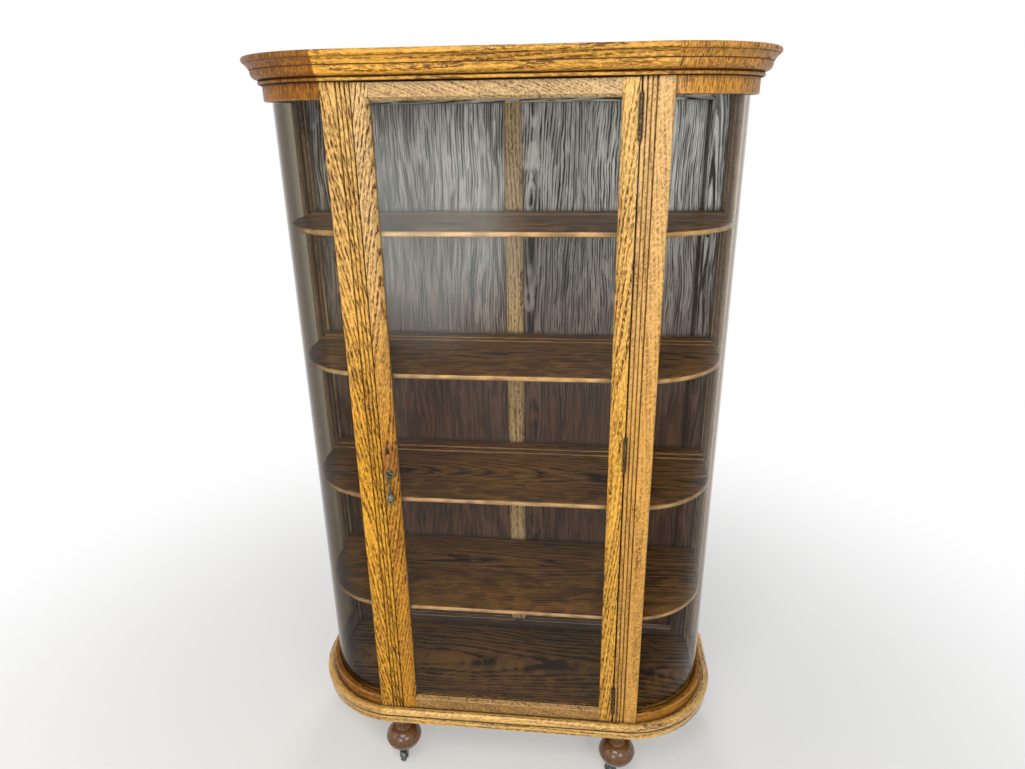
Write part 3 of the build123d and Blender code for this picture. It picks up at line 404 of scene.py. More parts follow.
def varnished_oak(
    name, pale, dark, figure, gloss=0.32, coat=0.12, wear=0.5, bare=(0.86, 0.58, 0.27), grime=1.0,
    bleach=0.0, bleached=(0.88, 0.64, 0.34), handling=0.0, coat_gloss=0.16,
):
    """Oak with its figure, its wear, its dirt and painted shade, its handling and its painted sheen, under
    varnish.
    """
    material, tree, shader = new_material(name)
    place = add_node(tree, "ShaderNodeAttribute", {"attribute_name": "grain"}).outputs["Vector"]
    rubbed, dark_lines = (
        add_node(tree, "ShaderNodeAttribute", {"attribute_name": mark}).outputs["Fac"]
        for mark in ("rubbed", "dark_lines")
    )
    spot = add_node(tree, "ShaderNodeTexCoord").outputs["Object"]
    aged = add_node(
        tree, "ShaderNodeGroup", {"node_tree": sheen_and_hands}, Color=(*pale, 1), Spot=spot,
        Bleach=bleach, Bleached=(*bleached, 1), Handling=handling, Handled_At=handled_spot,
    )
    wood = add_node(
        tree, "ShaderNodeGroup", {"node_tree": oak_figure},
        Place=place, Pale=aged.outputs["Color"], Dark=(*dark, 1), **figure,
    )
    # Ambient occlusion darkens grooves and joints: settled dirt and painted shade.
    open_air = add_node(
        tree, "ShaderNodeAmbientOcclusion", {"samples": 6}, Distance=sheltered_within,
    ).outputs["AO"]
    used = add_node(
        tree, "ShaderNodeGroup", {"node_tree": wear_dirt_and_shade},
        Color=wood.outputs["Color"], Place=place, Rubbed=rubbed, Wear=wear, Bare=(*bare, 1),
        Openness=maths(tree, "SUBTRACT", open_air, dark_lines), Grime=grime,
    )
    rough = maths(tree, "ADD", used.outputs["Dullness"], gloss)
    rough = maths(tree, "MULTIPLY_ADD", wood.outputs["Pore"], 0.2, rough, clamp=True)
    fill(
        tree, shader, Base_Color=used.outputs["Color"], Roughness=rough, Coat_Weight=coat,
        Coat_Roughness=coat_gloss, Specular_IOR_Level=varnish_shine,
    )
    raise_relief(tree, shader, wood.outputs["Height"], pore_relief, strength=0.6)
    return material


def figure(*settings):
    """The figure's settings, by their names in the group."""
    names = (
        "ring_width", "ring_contrast", "heart_distance", "waviness", "arching",
        "pores_per_metre", "pore_rows", "pores", "flecks",
    )
    return dict(zip(names, settings))


straight_grain = figure(0.0065, 0.25, 0.03, 0.008, 0.0, 90, 345, 1.1, 0.15)
flecked_grain = figure(0.0065, 0.10, 0.03, 0.006, 0.0, 200, 380, 0.8, 0.8)
curly_grain = figure(0.005, 0.12, 0.02, 0.02, 0.0, 210, 330, 1.0, 0.6)
bent_grain = figure(0.004, 0.15, 0.01, 0.01, 0.0, 70, 300, 1.0, 0.4)
arched_grain = figure(0.0045, 0.5, 0.03, 0.020, 0.8, 14, 260, 1.1, 0.05)
shelf_grain = figure(0.006, 0.6, 0.05, 0.014, 0.4, 24, 190, 1.0, 0.05)
floor_grain = figure(0.009, 0.6, 0.03, 0.02, 0.8, 25, 160, 1.0, 0.05)
foot_grain = figure(0.004, 0.15, 0.01, 0.004, 0.0, 70, 330, 0.7, 0.0)

# %% [markdown]
# ## The cabinet's oaks
#
# One cabinet, yet hardly two boards of it match. The front and the base are golden, and the
# bent pieces at the sides are darker. The door's left stile is a darker gold, which is
# painted shade, and handling has left a patch round its pull. The right-hand bent pieces
# take a paler copy of the bent oak, which is painted light, and the base's left stretch a
# darker copy of the base oak, which is painted shade. The shelves, the floor and the back
# are dark. Each oak has a pale colour, the dark colour of its pores, one of the figures and
# its own share of painted sheen.

# %% Oak materials
gold, deep_gold = (0.93, 0.48, 0.07), (0.10, 0.032, 0.005)
# A darker gold for the door's left stile, which is painted shade.
gold_painted_shade, brown_gold = (0.70, 0.31, 0.028), (0.075, 0.022, 0.003)
pale_sheen, bend_sheen = (0.92, 0.71, 0.38), (0.92, 0.46, 0.10)
# Each oak's share of paling near its top and on the right is painted sheen.
golden_oak = varnished_oak(
    "golden_oak", gold, deep_gold, straight_grain, bleach=0.4, bleached=pale_sheen,
)
pilaster_oak = varnished_oak(
    "pilaster_oak", (0.86, 0.41, 0.035), brown_gold, straight_grain, bleach=0.6, bleached=pale_sheen,
)
handled_oak = varnished_oak(
    "handled_oak", gold_painted_shade, brown_gold, straight_grain, bleach=0.85, bleached=pale_sheen, handling=0.6,
)
cornice_oak = varnished_oak(
    "cornice_oak", (0.90, 0.43, 0.035), (0.16, 0.06, 0.01), straight_grain, bleach=0.15,
)
flecked_oak = varnished_oak(
    "flecked_oak", (0.78, 0.40, 0.09), (0.14, 0.05, 0.010), flecked_grain, bleach=0.45,
)
rail_oak = varnished_oak(
    "rail_oak", (0.49, 0.27, 0.085), (0.08, 0.03, 0.010), curly_grain, bleach=0.6,
)
thick_varnish = {"gloss": 0.22, "coat": 0.9, "coat_gloss": 0.3}
base_oak = varnished_oak(
    "base_oak", (0.98, 0.58, 0.14), (0.17, 0.06, 0.012), straight_grain, **thick_varnish,
)
# A darker copy of the base oak for the base's left stretch: painted shade.
shaded_base_oak = varnished_oak(
    "shaded_base_oak", (0.74, 0.40, 0.08), (0.13, 0.045, 0.008), straight_grain, **thick_varnish,
)
bent_oak = varnished_oak(
    "bent_oak", (0.37, 0.135, 0.010), (0.045, 0.013, 0.003), bent_grain, wear=0.3,
)
# A paler copy of the bent oak for the right-hand bent pieces: painted light.
sunned_oak = varnished_oak(
    "sunned_oak", (0.50, 0.20, 0.015), (0.06, 0.02, 0.004), bent_grain, wear=0.3,
    bleach=0.5, bleached=bend_sheen,
)
post_oak = varnished_oak(
    "post_oak", (0.92, 0.62, 0.30), (0.12, 0.055, 0.02), straight_grain, wear=0.3,
)
# The shelf oak's bare colour is also the painted highlight on the shelves' edges.
shelf_oak = varnished_oak(
    "shelf_oak", (0.18, 0.072, 0.011), (0.013, 0.004, 0.001), shelf_grain, wear=1.0,
    bare=(0.70, 0.38, 0.16), grime=0.25,
)
floor_oak = varnished_oak("floor_oak", (0.165, 0.07, 0.014), (0.020, 0.007, 0.002), floor_grain)
# The back's panels turn pale grey near the top: a painted reflection of bright light in the door's glass.
panel_oak = varnished_oak(
    "panel_oak", (0.130, 0.058, 0.034), (0.022, 0.012, 0.009), arched_grain, coat=0.05,
    bleach=0.9, bleached=(0.76, 0.71, 0.70),
)
mullion_oak = varnished_oak("mullion_oak", (0.50, 0.32, 0.155), (0.10, 0.04, 0.012), straight_grain)
foot_oak = varnished_oak(
    "foot_oak", (0.19, 0.085, 0.022), (0.03, 0.011, 0.004), foot_grain,
    gloss=0.25, coat=0.8, coat_gloss=0.12,
)
rough_oak = varnished_oak(
    "rough_oak", (0.50, 0.33, 0.17), (0.24, 0.13, 0.06), shelf_grain, gloss=0.6, coat=0.0,
)
print("oaks that share the figure:", oak_figure.users)

# %% [markdown]
# ## Glass
#
# The panes are clear. Old glass is faintly green, and a pane darkens where it is seen edge
# on: that darkening is a painted reflection of dark surroundings. The bent pane on the left
# is the browner of the two. Lamps have to reach the shelves, so rays from lamps pass
# straight through, and every other ray is bent and mirrored as glass does. A slow ripple in
# the normal gives drawn glass its wavering look.


# %% Glass material
face_on_tint, lamp_tint = (0.955, 0.985, 0.97, 1), (0.93, 0.96, 0.94, 1)


def pane_glass(name, ripple, ripples_per_metre, mirror, mirrored_dark, dark_from, dark_to):
    """Clear glass with a painted dark reflection between two slants, and a slow ripple."""
    material, tree, shader = new_material(name)
    slant = add_node(tree, "ShaderNodeLayerWeight").outputs["Facing"]
    # Painted reflection: the pane darkens from one slant to the other, towards edge on.
    tint_and_mirrored_dark = blend_colour(tree, ramp(tree, slant, dark_from, dark_to), face_on_tint, (*mirrored_dark, 1))
    fill(tree, shader, Base_Color=tint_and_mirrored_dark, Roughness=0.0, IOR=mirror, Transmission_Weight=1.0)
    place = add_node(tree, "ShaderNodeTexCoord").outputs["Object"]
    wave = stretched_noise(tree, place, ripples_per_metre, ripples_per_metre, 1.0)
    raise_relief(tree, shader, wave, ripple, strength=1.0)
    clear = add_node(tree, "ShaderNodeBsdfTransparent", Color=lamp_tint)
    from_lamp = add_node(tree, "ShaderNodeLightPath").outputs["Is Shadow Ray"]
    mixed = add_node(
        tree, "ShaderNodeMixShader", _0=from_lamp, _1=shader.outputs[0], _2=clear.outputs[0],
    )
    fill(tree, tree.nodes["Material Output"], Surface=mixed.outputs[0])
    return material


flat_glass = pane_glass("flat_glass", 0.12 * mm, 5.0, 1.22, (0.3, 0.32, 0.3), 0.4, 0.9)
bent_glass_left = pane_glass(
    "bent_glass_left", 0.2 * mm, 9.0, 1.16, (0.13, 0.095, 0.055), 0.30, 0.60,
)
bent_glass_right = pane_glass(
    "bent_glass_right", 0.2 * mm, 9.0, 1.12, (0.22, 0.14, 0.08), 0.71, 0.80,
)
print("glass:", *(g.name for g in (flat_glass, bent_glass_left, bent_glass_right)))

# %% [markdown]
# ## Old metal
#
# The hinges and the strike are brass gone brown, the pull is a green-brown bronze, and the
# casters are grey iron. One group mottles a bright metal with tarnish, which lies on it as
# a thin, dull crust.

# %% Tarnish group and metals
tree, src, out = shader_group(
    "tarnish",
    {"Place": (0, 0, 0), "Bright": (0.6, 0.45, 0.2, 1), "Dull": (0.12, 0.09, 0.05, 1), "Amount": 0.5},
    {"Color": "Color", "Roughness": "Float", "Height": "Float"},
)
tarnish = tree
blotches = stretched_noise(tree, src.outputs["Place"], 320.0, 320.0, 4.0, 0.65)
specks = stretched_noise(tree, src.outputs["Place"], 1500.0, 1500.0, 2.0, offset=2.0)
spread = maths(tree, "ADD", blotches, maths(tree, "SUBTRACT", src.outputs["Amount"], 0.5))
share = ramp(tree, spread, 0.35, 0.65)
fill(
    tree, out, Color=blend_colour(tree, share, src.outputs["Bright"], src.outputs["Dull"]),
    Roughness=ramp(tree, share, 0.0, 1.0, 0.28, 0.55),
    Height=maths(tree, "ADD", blotches, maths(tree, "MULTIPLY", specks, 0.4)),
)


def old_metal(name, bright, dull, amount):
    """Metal with a share of its surface gone dull."""
    material, tree, shader = new_material(name)
    place = add_node(tree, "ShaderNodeTexCoord").outputs["Object"]
    patina = add_node(
        tree, "ShaderNodeGroup", {"node_tree": tarnish},
        Place=place, Bright=(*bright, 1), Dull=(*dull, 1), Amount=amount,
    ).outputs
    fill(tree, shader, Base_Color=patina["Color"], Roughness=patina["Roughness"], Metallic=0.9)
    raise_relief(tree, shader, patina["Height"], 0.2 * mm, strength=0.4)
    return material


hinge_brass = old_metal("hinge_brass", (0.34, 0.24, 0.12), (0.05, 0.035, 0.02), 0.6)
pull_bronze = old_metal("pull_bronze", (0.46, 0.50, 0.37), (0.02, 0.022, 0.016), 0.56)
keyhole_bronze = old_metal("keyhole_bronze", (0.12, 0.10, 0.06), (0.015, 0.013, 0.01), 0.6)
lock_brass = old_metal("lock_brass", (0.62, 0.47, 0.2), (0.2, 0.13, 0.06), 0.45)
caster_iron = old_metal("caster_iron", (0.32, 0.38, 0.33), (0.04, 0.05, 0.045), 0.55)
print("metals that share the tarnish:", tarnish.users)

# %% [markdown]
# ## Copies of the model's boards
#
# The model's boards come as loose triangles, which no Bevel can round. So each board that
# gets a finish is copied, its doubles are welded and its flat faces are made whole. A
# modifier does its work on the copy, and is then carried out for good.


# %% Copying and plain meshes
weld_distance = 0.002 * mm
hair = 0.0001 * mm
level_within = math.radians(0.4)


@contextmanager
def edited(mesh):
    """Opens a mesh for editing, and writes it back."""
    shape = bmesh.new()
    shape.from_mesh(mesh)
    yield shape
    shape.to_mesh(mesh)
    shape.free()


def welded_copy(node, name):
    """A copy of a model node with its loose triangles joined and flat faces whole."""
    mesh = model[node].data.copy()
    mesh.materials.clear()
    with edited(mesh) as shape:
        bmesh.ops.remove_doubles(shape, verts=shape.verts, dist=weld_distance)
        bmesh.ops.dissolve_limit(
            shape, angle_limit=level_within, verts=shape.verts, edges=shape.edges,
        )
        for face in shape.faces:
            face.smooth = True
    if "custom_normal" in mesh.attributes:
        mesh.attributes.remove(mesh.attributes["custom_normal"])
    return in_scene(name, mesh)


def made_plain(piece):
    """The piece with its modifiers carried out and removed."""
    graph = bpy.context.evaluated_depsgraph_get()
    mesh = bpy.data.meshes.new_from_object(piece.evaluated_get(graph))
    piece.modifiers.clear()
    old = piece.data
    piece.data = mesh
    if old.users == 0:
        bpy.data.meshes.remove(old)
    return piece


# %% [markdown]
# ## Rounded arrises, and a painted highlight on shelf edges
#
# Nothing on an old cabinet has a knife edge. A Bevel rounds each board's arrises, and the
# flat faces keep their shading through a Weighted Normal. The Bevel also marks its own
# faces, and that mark becomes the attribute that the wear group reads. The upright faces
# of a shelf carry the mark too, as a painted highlight: they are made paler where the light
# falls on the shelves' front edges.


# %% Rounding, and the painted highlight on shelves
arris_angle = math.radians(28)
upright_below = 0.6


def round_arrises(piece, size):
    """Rounds the sharp edges and marks the faces that this makes."""
    mesh = piece.data
    mesh.set_sharp_from_angle(angle=arris_angle)
    mesh.polygons.foreach_set("material_index", np.zeros(len(mesh.polygons), np.int32))
    while len(mesh.materials) < 2:
        mesh.materials.append(None)
    bevel = piece.modifiers.new("arris", "BEVEL")
    bevel.width = size
    bevel.segments = 2
    bevel.limit_method = "ANGLE"
    bevel.angle_limit = arris_angle
    bevel.material = 1
    bevel.use_clamp_overlap = True
    bevel.miter_outer = "MITER_ARC"
    weighted = piece.modifiers.new("shading", "WEIGHTED_NORMAL")
    weighted.keep_sharp = False
    weighted.weight = 90
    mesh = made_plain(piece).data
    marks = np.zeros(len(mesh.polygons), np.int32)
    mesh.polygons.foreach_get("material_index", marks)
    worn = mesh.attributes.new("rubbed", "FLOAT", "FACE")
    worn.data.foreach_set("value", (marks == 1).astype(np.float32))
    mesh.polygons.foreach_set("material_index", np.zeros(len(marks), np.int32))


def light_shelf_edges(piece, amount):
    """Marks the upright faces of a shelf for a painted highlight, which makes them paler."""
    marks = piece.data.attributes["rubbed"].data
    for face in piece.data.polygons:
        if abs(face.normal.z) < upright_below:
            marks[face.index].value = max(marks[face.index].value, amount)


# %% [markdown]
# ## Grain and dark lines
#
# Two more attributes ride on the mesh. One lays the grain along the board, and takes each
# board from its own part of the tree. The other holds dark lines: painted shade in the
# quirks of a moulding, and a dark line beside the stiles of the back. It is strongest along
# chosen lines and fades away from them. A flat board has no points there, so edge loops
# are laid across it first.

# %% Grain and dark lines on the mesh
tree_shift = np.random.default_rng(1907)
far_up, far_round = 40, 0.05
grain_axes = {"up": (2, 0, 1), "across": (0, 2, 1), "board": (0, 1, 2)}


def own_shift():
    """Each board comes from its own part of the tree: how far up it, and how far round."""
    up, _, _ = tree_shift.uniform(-far_up, far_up, 3)
    return np.array([up, tree_shift.uniform(-far_round, far_round), 0.0])


def mesh_points(mesh):
    """The mesh's points as rows of X, Y and Z."""
    points = np.zeros(len(mesh.vertices) * 3, np.float32)
    mesh.vertices.foreach_get("co", points)
    return points.reshape(-1, 3).astype(float)


def write_grain(mesh, places, twist=0.0):
    """Writes the grain's own coordinates on the mesh: X runs along the grain."""
    places -= (places.min(0) + places.max(0)) / 2
    places[:, 1] += places[:, 0] * twist
    places += own_shift()
    grain = mesh.attributes.get("grain") or mesh.attributes.new("grain", "FLOAT_VECTOR", "POINT")
    grain.data.foreach_set("vector", places.astype(np.float32).ravel())


def lay_grain(piece, direction, twist=0.0):
    """Grain that runs straight along a board, or slants across it by the twist."""
    write_grain(piece.data, mesh_points(piece.data)[:, grain_axes[direction]], twist)


def draw_dark_lines(piece, axis, lines):
    """Marks dark lines across one axis, each with its place, width and amount."""
    along = mesh_points(piece.data)[:, axis]
    darkening = sum(amount * np.exp(-(((along - place) / width) ** 2)) for place, width, amount in lines)
    dark_lines = piece.data.attributes.new("dark_lines", "FLOAT", "POINT")
    dark_lines.data.foreach_set("value", np.clip(darkening, 0, 1).astype(np.float32))


def score(piece, across):
    """Lays an edge loop across the piece without changing its shape."""
    with edited(piece.data) as shape:
        everything = shape.verts[:] + shape.edges[:] + shape.faces[:]
        bmesh.ops.bisect_plane(
            shape, geom=everything, dist=hair, plane_co=(across, 0, 0), plane_no=(1, 0, 0),
        )


# %% [markdown]
# ## Straight boards
#
# The door frame, the posts, the shelves and the back are straight boards, and the model has
# their shapes right. Each is copied, rounded, marked, grained and dressed. The stiles and
# the pilasters were sawn a little askew to the trunk, so their grain runs off to one side.
# In the back, a dark line runs beside both stiles.


# %% Finishing the boards
def dress(piece, material, node):
    """Gives the piece its material, hides the model node it stands for, and lets it ride."""
    piece.data.materials.clear()
    piece.data.materials.append(material)
    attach(piece, model[node]["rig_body"])
    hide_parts(node)


def finished_board(node, material, direction, arris=0.8 * mm, twist=0.0, edges=0.0, darkening=()):
    """Copies a board of the model and gives it its arrises, marks, grain and material."""
    piece = welded_copy(node, node + "_oak")
    for place, width, _ in darkening:
        for step in (-2, -1, 0, 1, 2):
            score(piece, place + step * width)
    round_arrises(piece, arris)
    if darkening:
        draw_dark_lines(piece, 0, darkening)
    if edges:
        light_shelf_edges(piece, edges)
    lay_grain(piece, direction, twist)
    dress(piece, material, node)


finished_board("pilaster_left", pilaster_oak, "up", twist=0.16)
finished_board("door_stile_left", handled_oak, "up", twist=-0.2)
finished_board("door_stile_right", golden_oak, "up", twist=-0.12)
finished_board("pilaster_right", flecked_oak, "up", twist=0.05)
for node in ("door_rail_top", "door_rail_bottom"):
    finished_board(node, rail_oak, "across", twist=0.4)
for node in ("rear_post_left", "rear_post_right"):
    finished_board(node, post_oak, "up")
# The shelves' upright faces are made paler: a painted highlight where the front light falls.
for node in ("shelf_1", "shelf_2", "shelf_3", "shelf_4"):
    finished_board(node, shelf_oak, "board", 0.6 * mm, edges=0.65)
for node, wood in (("floor_board", floor_oak), ("ceiling_board", shelf_oak)):
    finished_board(node, wood, "board", 0.6 * mm)
for node in ("back_stile_left", "back_stile_right"):
    finished_board(node, panel_oak, "up", 0.6 * mm)
beside_stile, dark_line_width, dark_line_amount = 4.5 * mm, 4 * mm, 0.6
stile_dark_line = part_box("back_stile_right")[0].x - beside_stile
panel_dark_lines = [(side * stile_dark_line, dark_line_width, dark_line_amount) for side in (-1, 1)]
finished_board("back_panels", panel_oak, "up", 0.6 * mm, darkening=panel_dark_lines)
finished_board("back_mullion", mullion_oak, "up", 0.6 * mm)
for node in ("back_bottom_rail", "back_top_rail"):
    finished_board(node, panel_oak, "across", 0.6 * mm)
for node in ("top_board", "base_back_rail"):
    finished_board(node, rough_oak, "across")
finished_board("door_stops", shelf_oak, "across", 0.5 * mm)
finished_board("door_glass_beads", shelf_oak, "up", 0.4 * mm)
finished_board("shelf_pins", shelf_oak, "up", 0.3 * mm)

# %% [markdown]
# ## Mouldings bent round the corners
#
# The cornice, the base, the friezes, the bottom rails and the side panes are each one
# section carried along the cabinet's D-shaped plan. They could be lofted by hand, but one
# Geometry Nodes tree makes all of them. It draws a path of four points, rounds its two
# corners, keeps the stretch between two distances and carries the section along it. Only
# the section, the stretch and the height change from piece to piece.

# %% The bent moulding tree
bend_steps = 40


def geometry_tree(name, inputs):
    """An empty geometry tree with its named inputs, and its two end nodes."""
    tree = bpy.data.node_groups.new(name, "GeometryNodeTree")
    for label, kind in {"Geometry": "Geometry", **inputs}.items():
        tree.interface.new_socket(label, in_out="INPUT", socket_type="NodeSocket" + kind)
    tree.interface.new_socket("Geometry", in_out="OUTPUT", socket_type="NodeSocketGeometry")
    return tree, tree.nodes.new("NodeGroupInput"), tree.nodes.new("NodeGroupOutput")


def end_tree(tree, geometry, material, out):
    """Every tree ends by making its copies real and giving them their material."""
    whole = add_node(tree, "GeometryNodeRealizeInstances", Geometry=geometry)
    finished = add_node(tree, "GeometryNodeSetMaterial", Geometry=whole.outputs[0], Material=material)
    wire(tree, finished.outputs[0], out.inputs[0])
    print(tree.name, "tree:", len(tree.nodes), "nodes")


def grow(piece, tree, **values):
    """Runs a geometry tree on a piece, with each named input set before it is evaluated."""
    modifier = piece.modifiers.new(tree.name, "NODES")
    modifier.node_group = tree
    for item in tree.interface.items_tree:
        name = item.name.replace(" ", "_").lower()
        if item.in_out == "INPUT" and name in values:
            modifier[item.identifier] = values[name]
    made_plain(piece)


numbers = ["Half Width", "Front", "Back", "Bend Radius", "Start", "End", "Level"]
tree, src, out = geometry_tree(
    "bent moulding", {**{label: "Float" for label in numbers}, "Material": "Material"},
)
bent_moulding = tree
line = add_node(tree, "GeometryNodeCurvePrimitiveLine", {"mode": "POINTS"})
four = add_node(tree, "GeometryNodeResampleCurve", Curve=line.outputs[0], Count=4)
index = tree.nodes.new("GeometryNodeInputIndex").outputs[0]
on_right = maths(tree, "GREATER_THAN", index, 1.5)
at_front = maths(tree, "COMPARE", index, 1.5, 0.6)
side = maths(tree, "MULTIPLY_ADD", on_right, 2.0, -1.0)
corner_x = maths(tree, "MULTIPLY", side, src.outputs["Half Width"])
depth = maths(tree, "SUBTRACT", src.outputs["Front"], src.outputs["Back"])
corner_y = maths(tree, "MULTIPLY_ADD", at_front, depth, src.outputs["Back"])
corner = add_node(tree, "ShaderNodeCombineXYZ", X=corner_x, Y=corner_y, Z=src.outputs["Level"])
placed = add_node(tree, "GeometryNodeSetPosition", Geometry=four.outputs[0], Position=corner.outputs[0])
rounded = add_node(
    tree, "GeometryNodeFilletCurve", {"mode": "POLY"},
    Curve=placed.outputs[0], Count=bend_steps, Radius=src.outputs["Bend Radius"],
)
stretch = add_node(tree, "GeometryNodeTrimCurve", {"mode": "LENGTH"}, Curve=rounded.outputs[0])
wire(tree, src.outputs["Start"], [s for s in stretch.inputs if s.name == "Start"][-1])
wire(tree, src.outputs["End"], [s for s in stretch.inputs if s.name == "End"][-1])
level_path = add_node(tree, "GeometryNodeSetCurveNormal", {"mode": "Z_UP"}, Curve=stretch.outputs[0])
section = add_node(tree, "GeometryNodeMeshToCurve", Mesh=src.outputs["Geometry"])
swept = add_node(
    tree, "GeometryNodeCurveToMesh",
    Curve=level_path.outputs[0], Profile_Curve=section.outputs[0], Fill_Caps=True,
)
end_tree(tree, swept.outputs[0], src.outputs["Material"], out)

# %% [markdown]
# ## Sections
#
# A section is a closed loop of points, drawn as distance out from the plan line and height.
# Its round parts are arcs, as on a moulding plane's iron, and each is given by three points
# or by its centre. Where a moulding ends it is sawn square, as it is on the bench.


# %% Drawing and sawing a moulding
def arc_through(first, middle, last, steps):
    """Points from first to last on the circle that passes through all three."""
    a, b, c = (np.array(p, float) for p in (first, middle, last))
    rows = 2 * np.array([b - a, c - a])
    centre = np.linalg.solve(rows, [b @ b - a @ a, c @ c - a @ a])
    angles = [math.atan2(*(p - centre)[::-1]) for p in (a, b, c)]
    sweep = (angles[2] - angles[0]) % math.tau
    if (angles[1] - angles[0]) % math.tau > sweep:
        sweep -= math.tau
    radius = np.linalg.norm(a - centre)
    turns = [angles[0] + sweep * i / steps for i in range(steps + 1)]
    return [(centre[0] + radius * math.cos(t), centre[1] + radius * math.sin(t)) for t in turns]


def bulge(centre, radius, start, end, steps):
    """Points round a bulge, between two angles in degrees."""
    turns = [math.radians(start + (end - start) * i / steps) for i in range(steps + 1)]
    return [(centre[0] + radius * math.cos(t), centre[1] + radius * math.sin(t)) for t in turns]


def section_piece(points, name):
    """A piece that so far holds only its section, in millimetres from the plan line."""
    mesh = bpy.data.meshes.new(name)
    loop = [(out * mm, -up * mm, 0) for out, up in points]
    mesh.from_pydata(loop, [(i, (i + 1) % len(loop)) for i in range(len(loop))], [])
    return in_scene(name, mesh)


def cut_line(axis, place, waste):
    """A saw cut square to one axis: a point on it, and the side where the waste falls."""
    point, normal = Vector(), Vector()
    point[axis], normal[axis] = place, waste
    return point, normal


def saw(piece, place, normal):
    """Cuts away what lies on the normal's side of a plane, and closes the cut."""
    with edited(piece.data) as shape:
        everything = shape.verts[:] + shape.edges[:] + shape.faces[:]
        bmesh.ops.bisect_plane(
            shape, geom=everything, dist=hair, plane_co=place, plane_no=normal, clear_outer=True,
        )
        close_up(shape)


def close_up(shape):
    """Closes the open ends of a shape and turns all its faces outward."""
    bmesh.ops.holes_fill(shape, edges=[edge for edge in shape.edges if edge.is_boundary])
    bmesh.ops.recalc_face_normals(shape, faces=shape.faces)


# %% [markdown]
# ## Grain round a bend
#
# Wood that is bent keeps its grain along the bend, and veneer is laid with its grain
# upright. Either way the grain's place is found by unbending the plan: how far along the
# path a point lies, how high, and how far out. Each bent piece is then finished like a
# board.


# %% Unbending and finishing
def unbent(points, half, front, radius):
    """Places along a D-shaped plan made straight: distance along, height, distance out."""
    x, y, z = points.T
    centre_x, centre_y = half - radius, front + radius
    turn = np.arctan2(np.abs(x) - centre_x, centre_y - y)
    bend = (np.abs(x) > centre_x) & (y < centre_y)
    on_side = y >= centre_y
    along = np.where(bend, centre_x + radius * turn, np.abs(x))
    along = np.where(on_side, centre_x + radius * math.pi / 2 + y - centre_y, along)
    away = np.where(bend, np.hypot(np.abs(x) - centre_x, centre_y - y) - radius, front - y)
    away = np.where(on_side, np.abs(x) - half, away)
    return np.stack([along * np.sign(x), z, away], 1)


def lay_bent_grain(piece, plan, upright=False):
    """Grain that follows the bend, or stands upright on it as veneer does."""
    places = unbent(mesh_points(piece.data), *plan)
    write_grain(piece.data, places[:, [1, 0, 2]] if upright else places)


def bent_piece(name, section, plan, level, span, cuts, material):
    """A section carried along one span of the plan, and sawn to length."""
    half, front, radius = plan
    piece = section_piece(section, name)
    grow(
        piece, bent_moulding, half_width=half, front=front, back=back_line, bend_radius=radius,
        start=span[0], end=span[1], level=level, material=material,
    )
    for place, waste in cuts:
        saw(piece, place, waste)
    for face in piece.data.polygons:
        face.use_smooth = True
    return piece


def finish_bend(piece, plan, material, node, upright=False, arris=0.5 * mm, darkening=()):
    """Rounds a bent piece's arrises, lays its grain and gives it its finish."""
    round_arrises(piece, arris)
    if darkening:
        draw_dark_lines(piece, 2, darkening)
    lay_bent_grain(piece, plan, upright)
    dress(piece, material, node)


# %% [markdown]
# ## The cornice
#
# The cornice has a bead at the bottom, then a quarter round, a shallow cove and a round
# nose on top. Like the base it is three pieces: one across the front between the pilasters'
# outer edges, and one round each side, which is veneered. The two cuts of a joint lie in
# one plane, with the waste on opposite sides.

# %% The three stretches, and the cornice
case_plan = (side_line, front_line, bend_radius)


def three_stretches(plan):
    """The front, left and right stretches of a path, each with its span and its saw cuts."""
    half, front, radius = plan
    whole = 2 * (back_line - front - radius) + math.pi * radius + 2 * (half - radius)
    right_end, left_end = cut_line(0, pilaster_edge, 1), cut_line(0, -pilaster_edge, -1)
    left_joint, right_joint = cut_line(0, -pilaster_edge, 1), cut_line(0, pilaster_edge, -1)
    return {
        "front": ((0.0, whole), (right_end, left_end)),
        "left": ((0.0, whole / 2), (left_joint,)),
        "right": ((whole / 2, whole), (right_joint,)),
    }


cornice_section = (
    [(-24, 0), (3, 0)]
    + bulge((4, 4.2), 3.5, -65, 75, 8)
    + [(6.5, 8.6)]
    + arc_through((10, 9.6), (16.9, 15.3), (18, 24.2), 10)
    + arc_through((19.5, 25), (22.6, 30.6), (26.9, 35), 6)
    + bulge((26, 41), 5, -75, 90, 10)
    + [(-18, 46), (-18, 34), (-24, 34)]
)
# The right-hand stretch takes the paler copy of the bent oak, which is painted light.
cornice_oaks = {"front": cornice_oak, "left": bent_oak, "right": sunned_oak}
# Painted shade: dark lines under the nose, between the quarter round and the cove, and along the bottom
# where the cornice overhangs the door.
cornice_shade_lines = [
    (case_top + up * mm, width * mm, amount)
    for up, width, amount in ((35.6, 0.9, 0.4), (24.6, 0.7, 0.45), (0, 1.2, 0.8))
]
for part, (span, cuts) in three_stretches(case_plan).items():
    node, wood = "cornice_" + part, cornice_oaks[part]
    slot, veneered = ("golden_oak", False) if part == "front" else ("bent_oak", True)
    piece = bent_piece(node + "_oak", cornice_section, case_plan, case_top, span, cuts, wood)
    finish_bend(piece, case_plan, wood, node, veneered, darkening=cornice_shade_lines)
    print(node, len(piece.data.polygons), "faces")

# %% [markdown]
# ## The base moulding
#
# The base has a fat rounded nose over a plain fascia. It stands further out at the sides
# than at the front, so the recess for the floor board doesn't follow its own path. That
# recess is cut with a Boolean, using a D-shaped board that a small function draws.


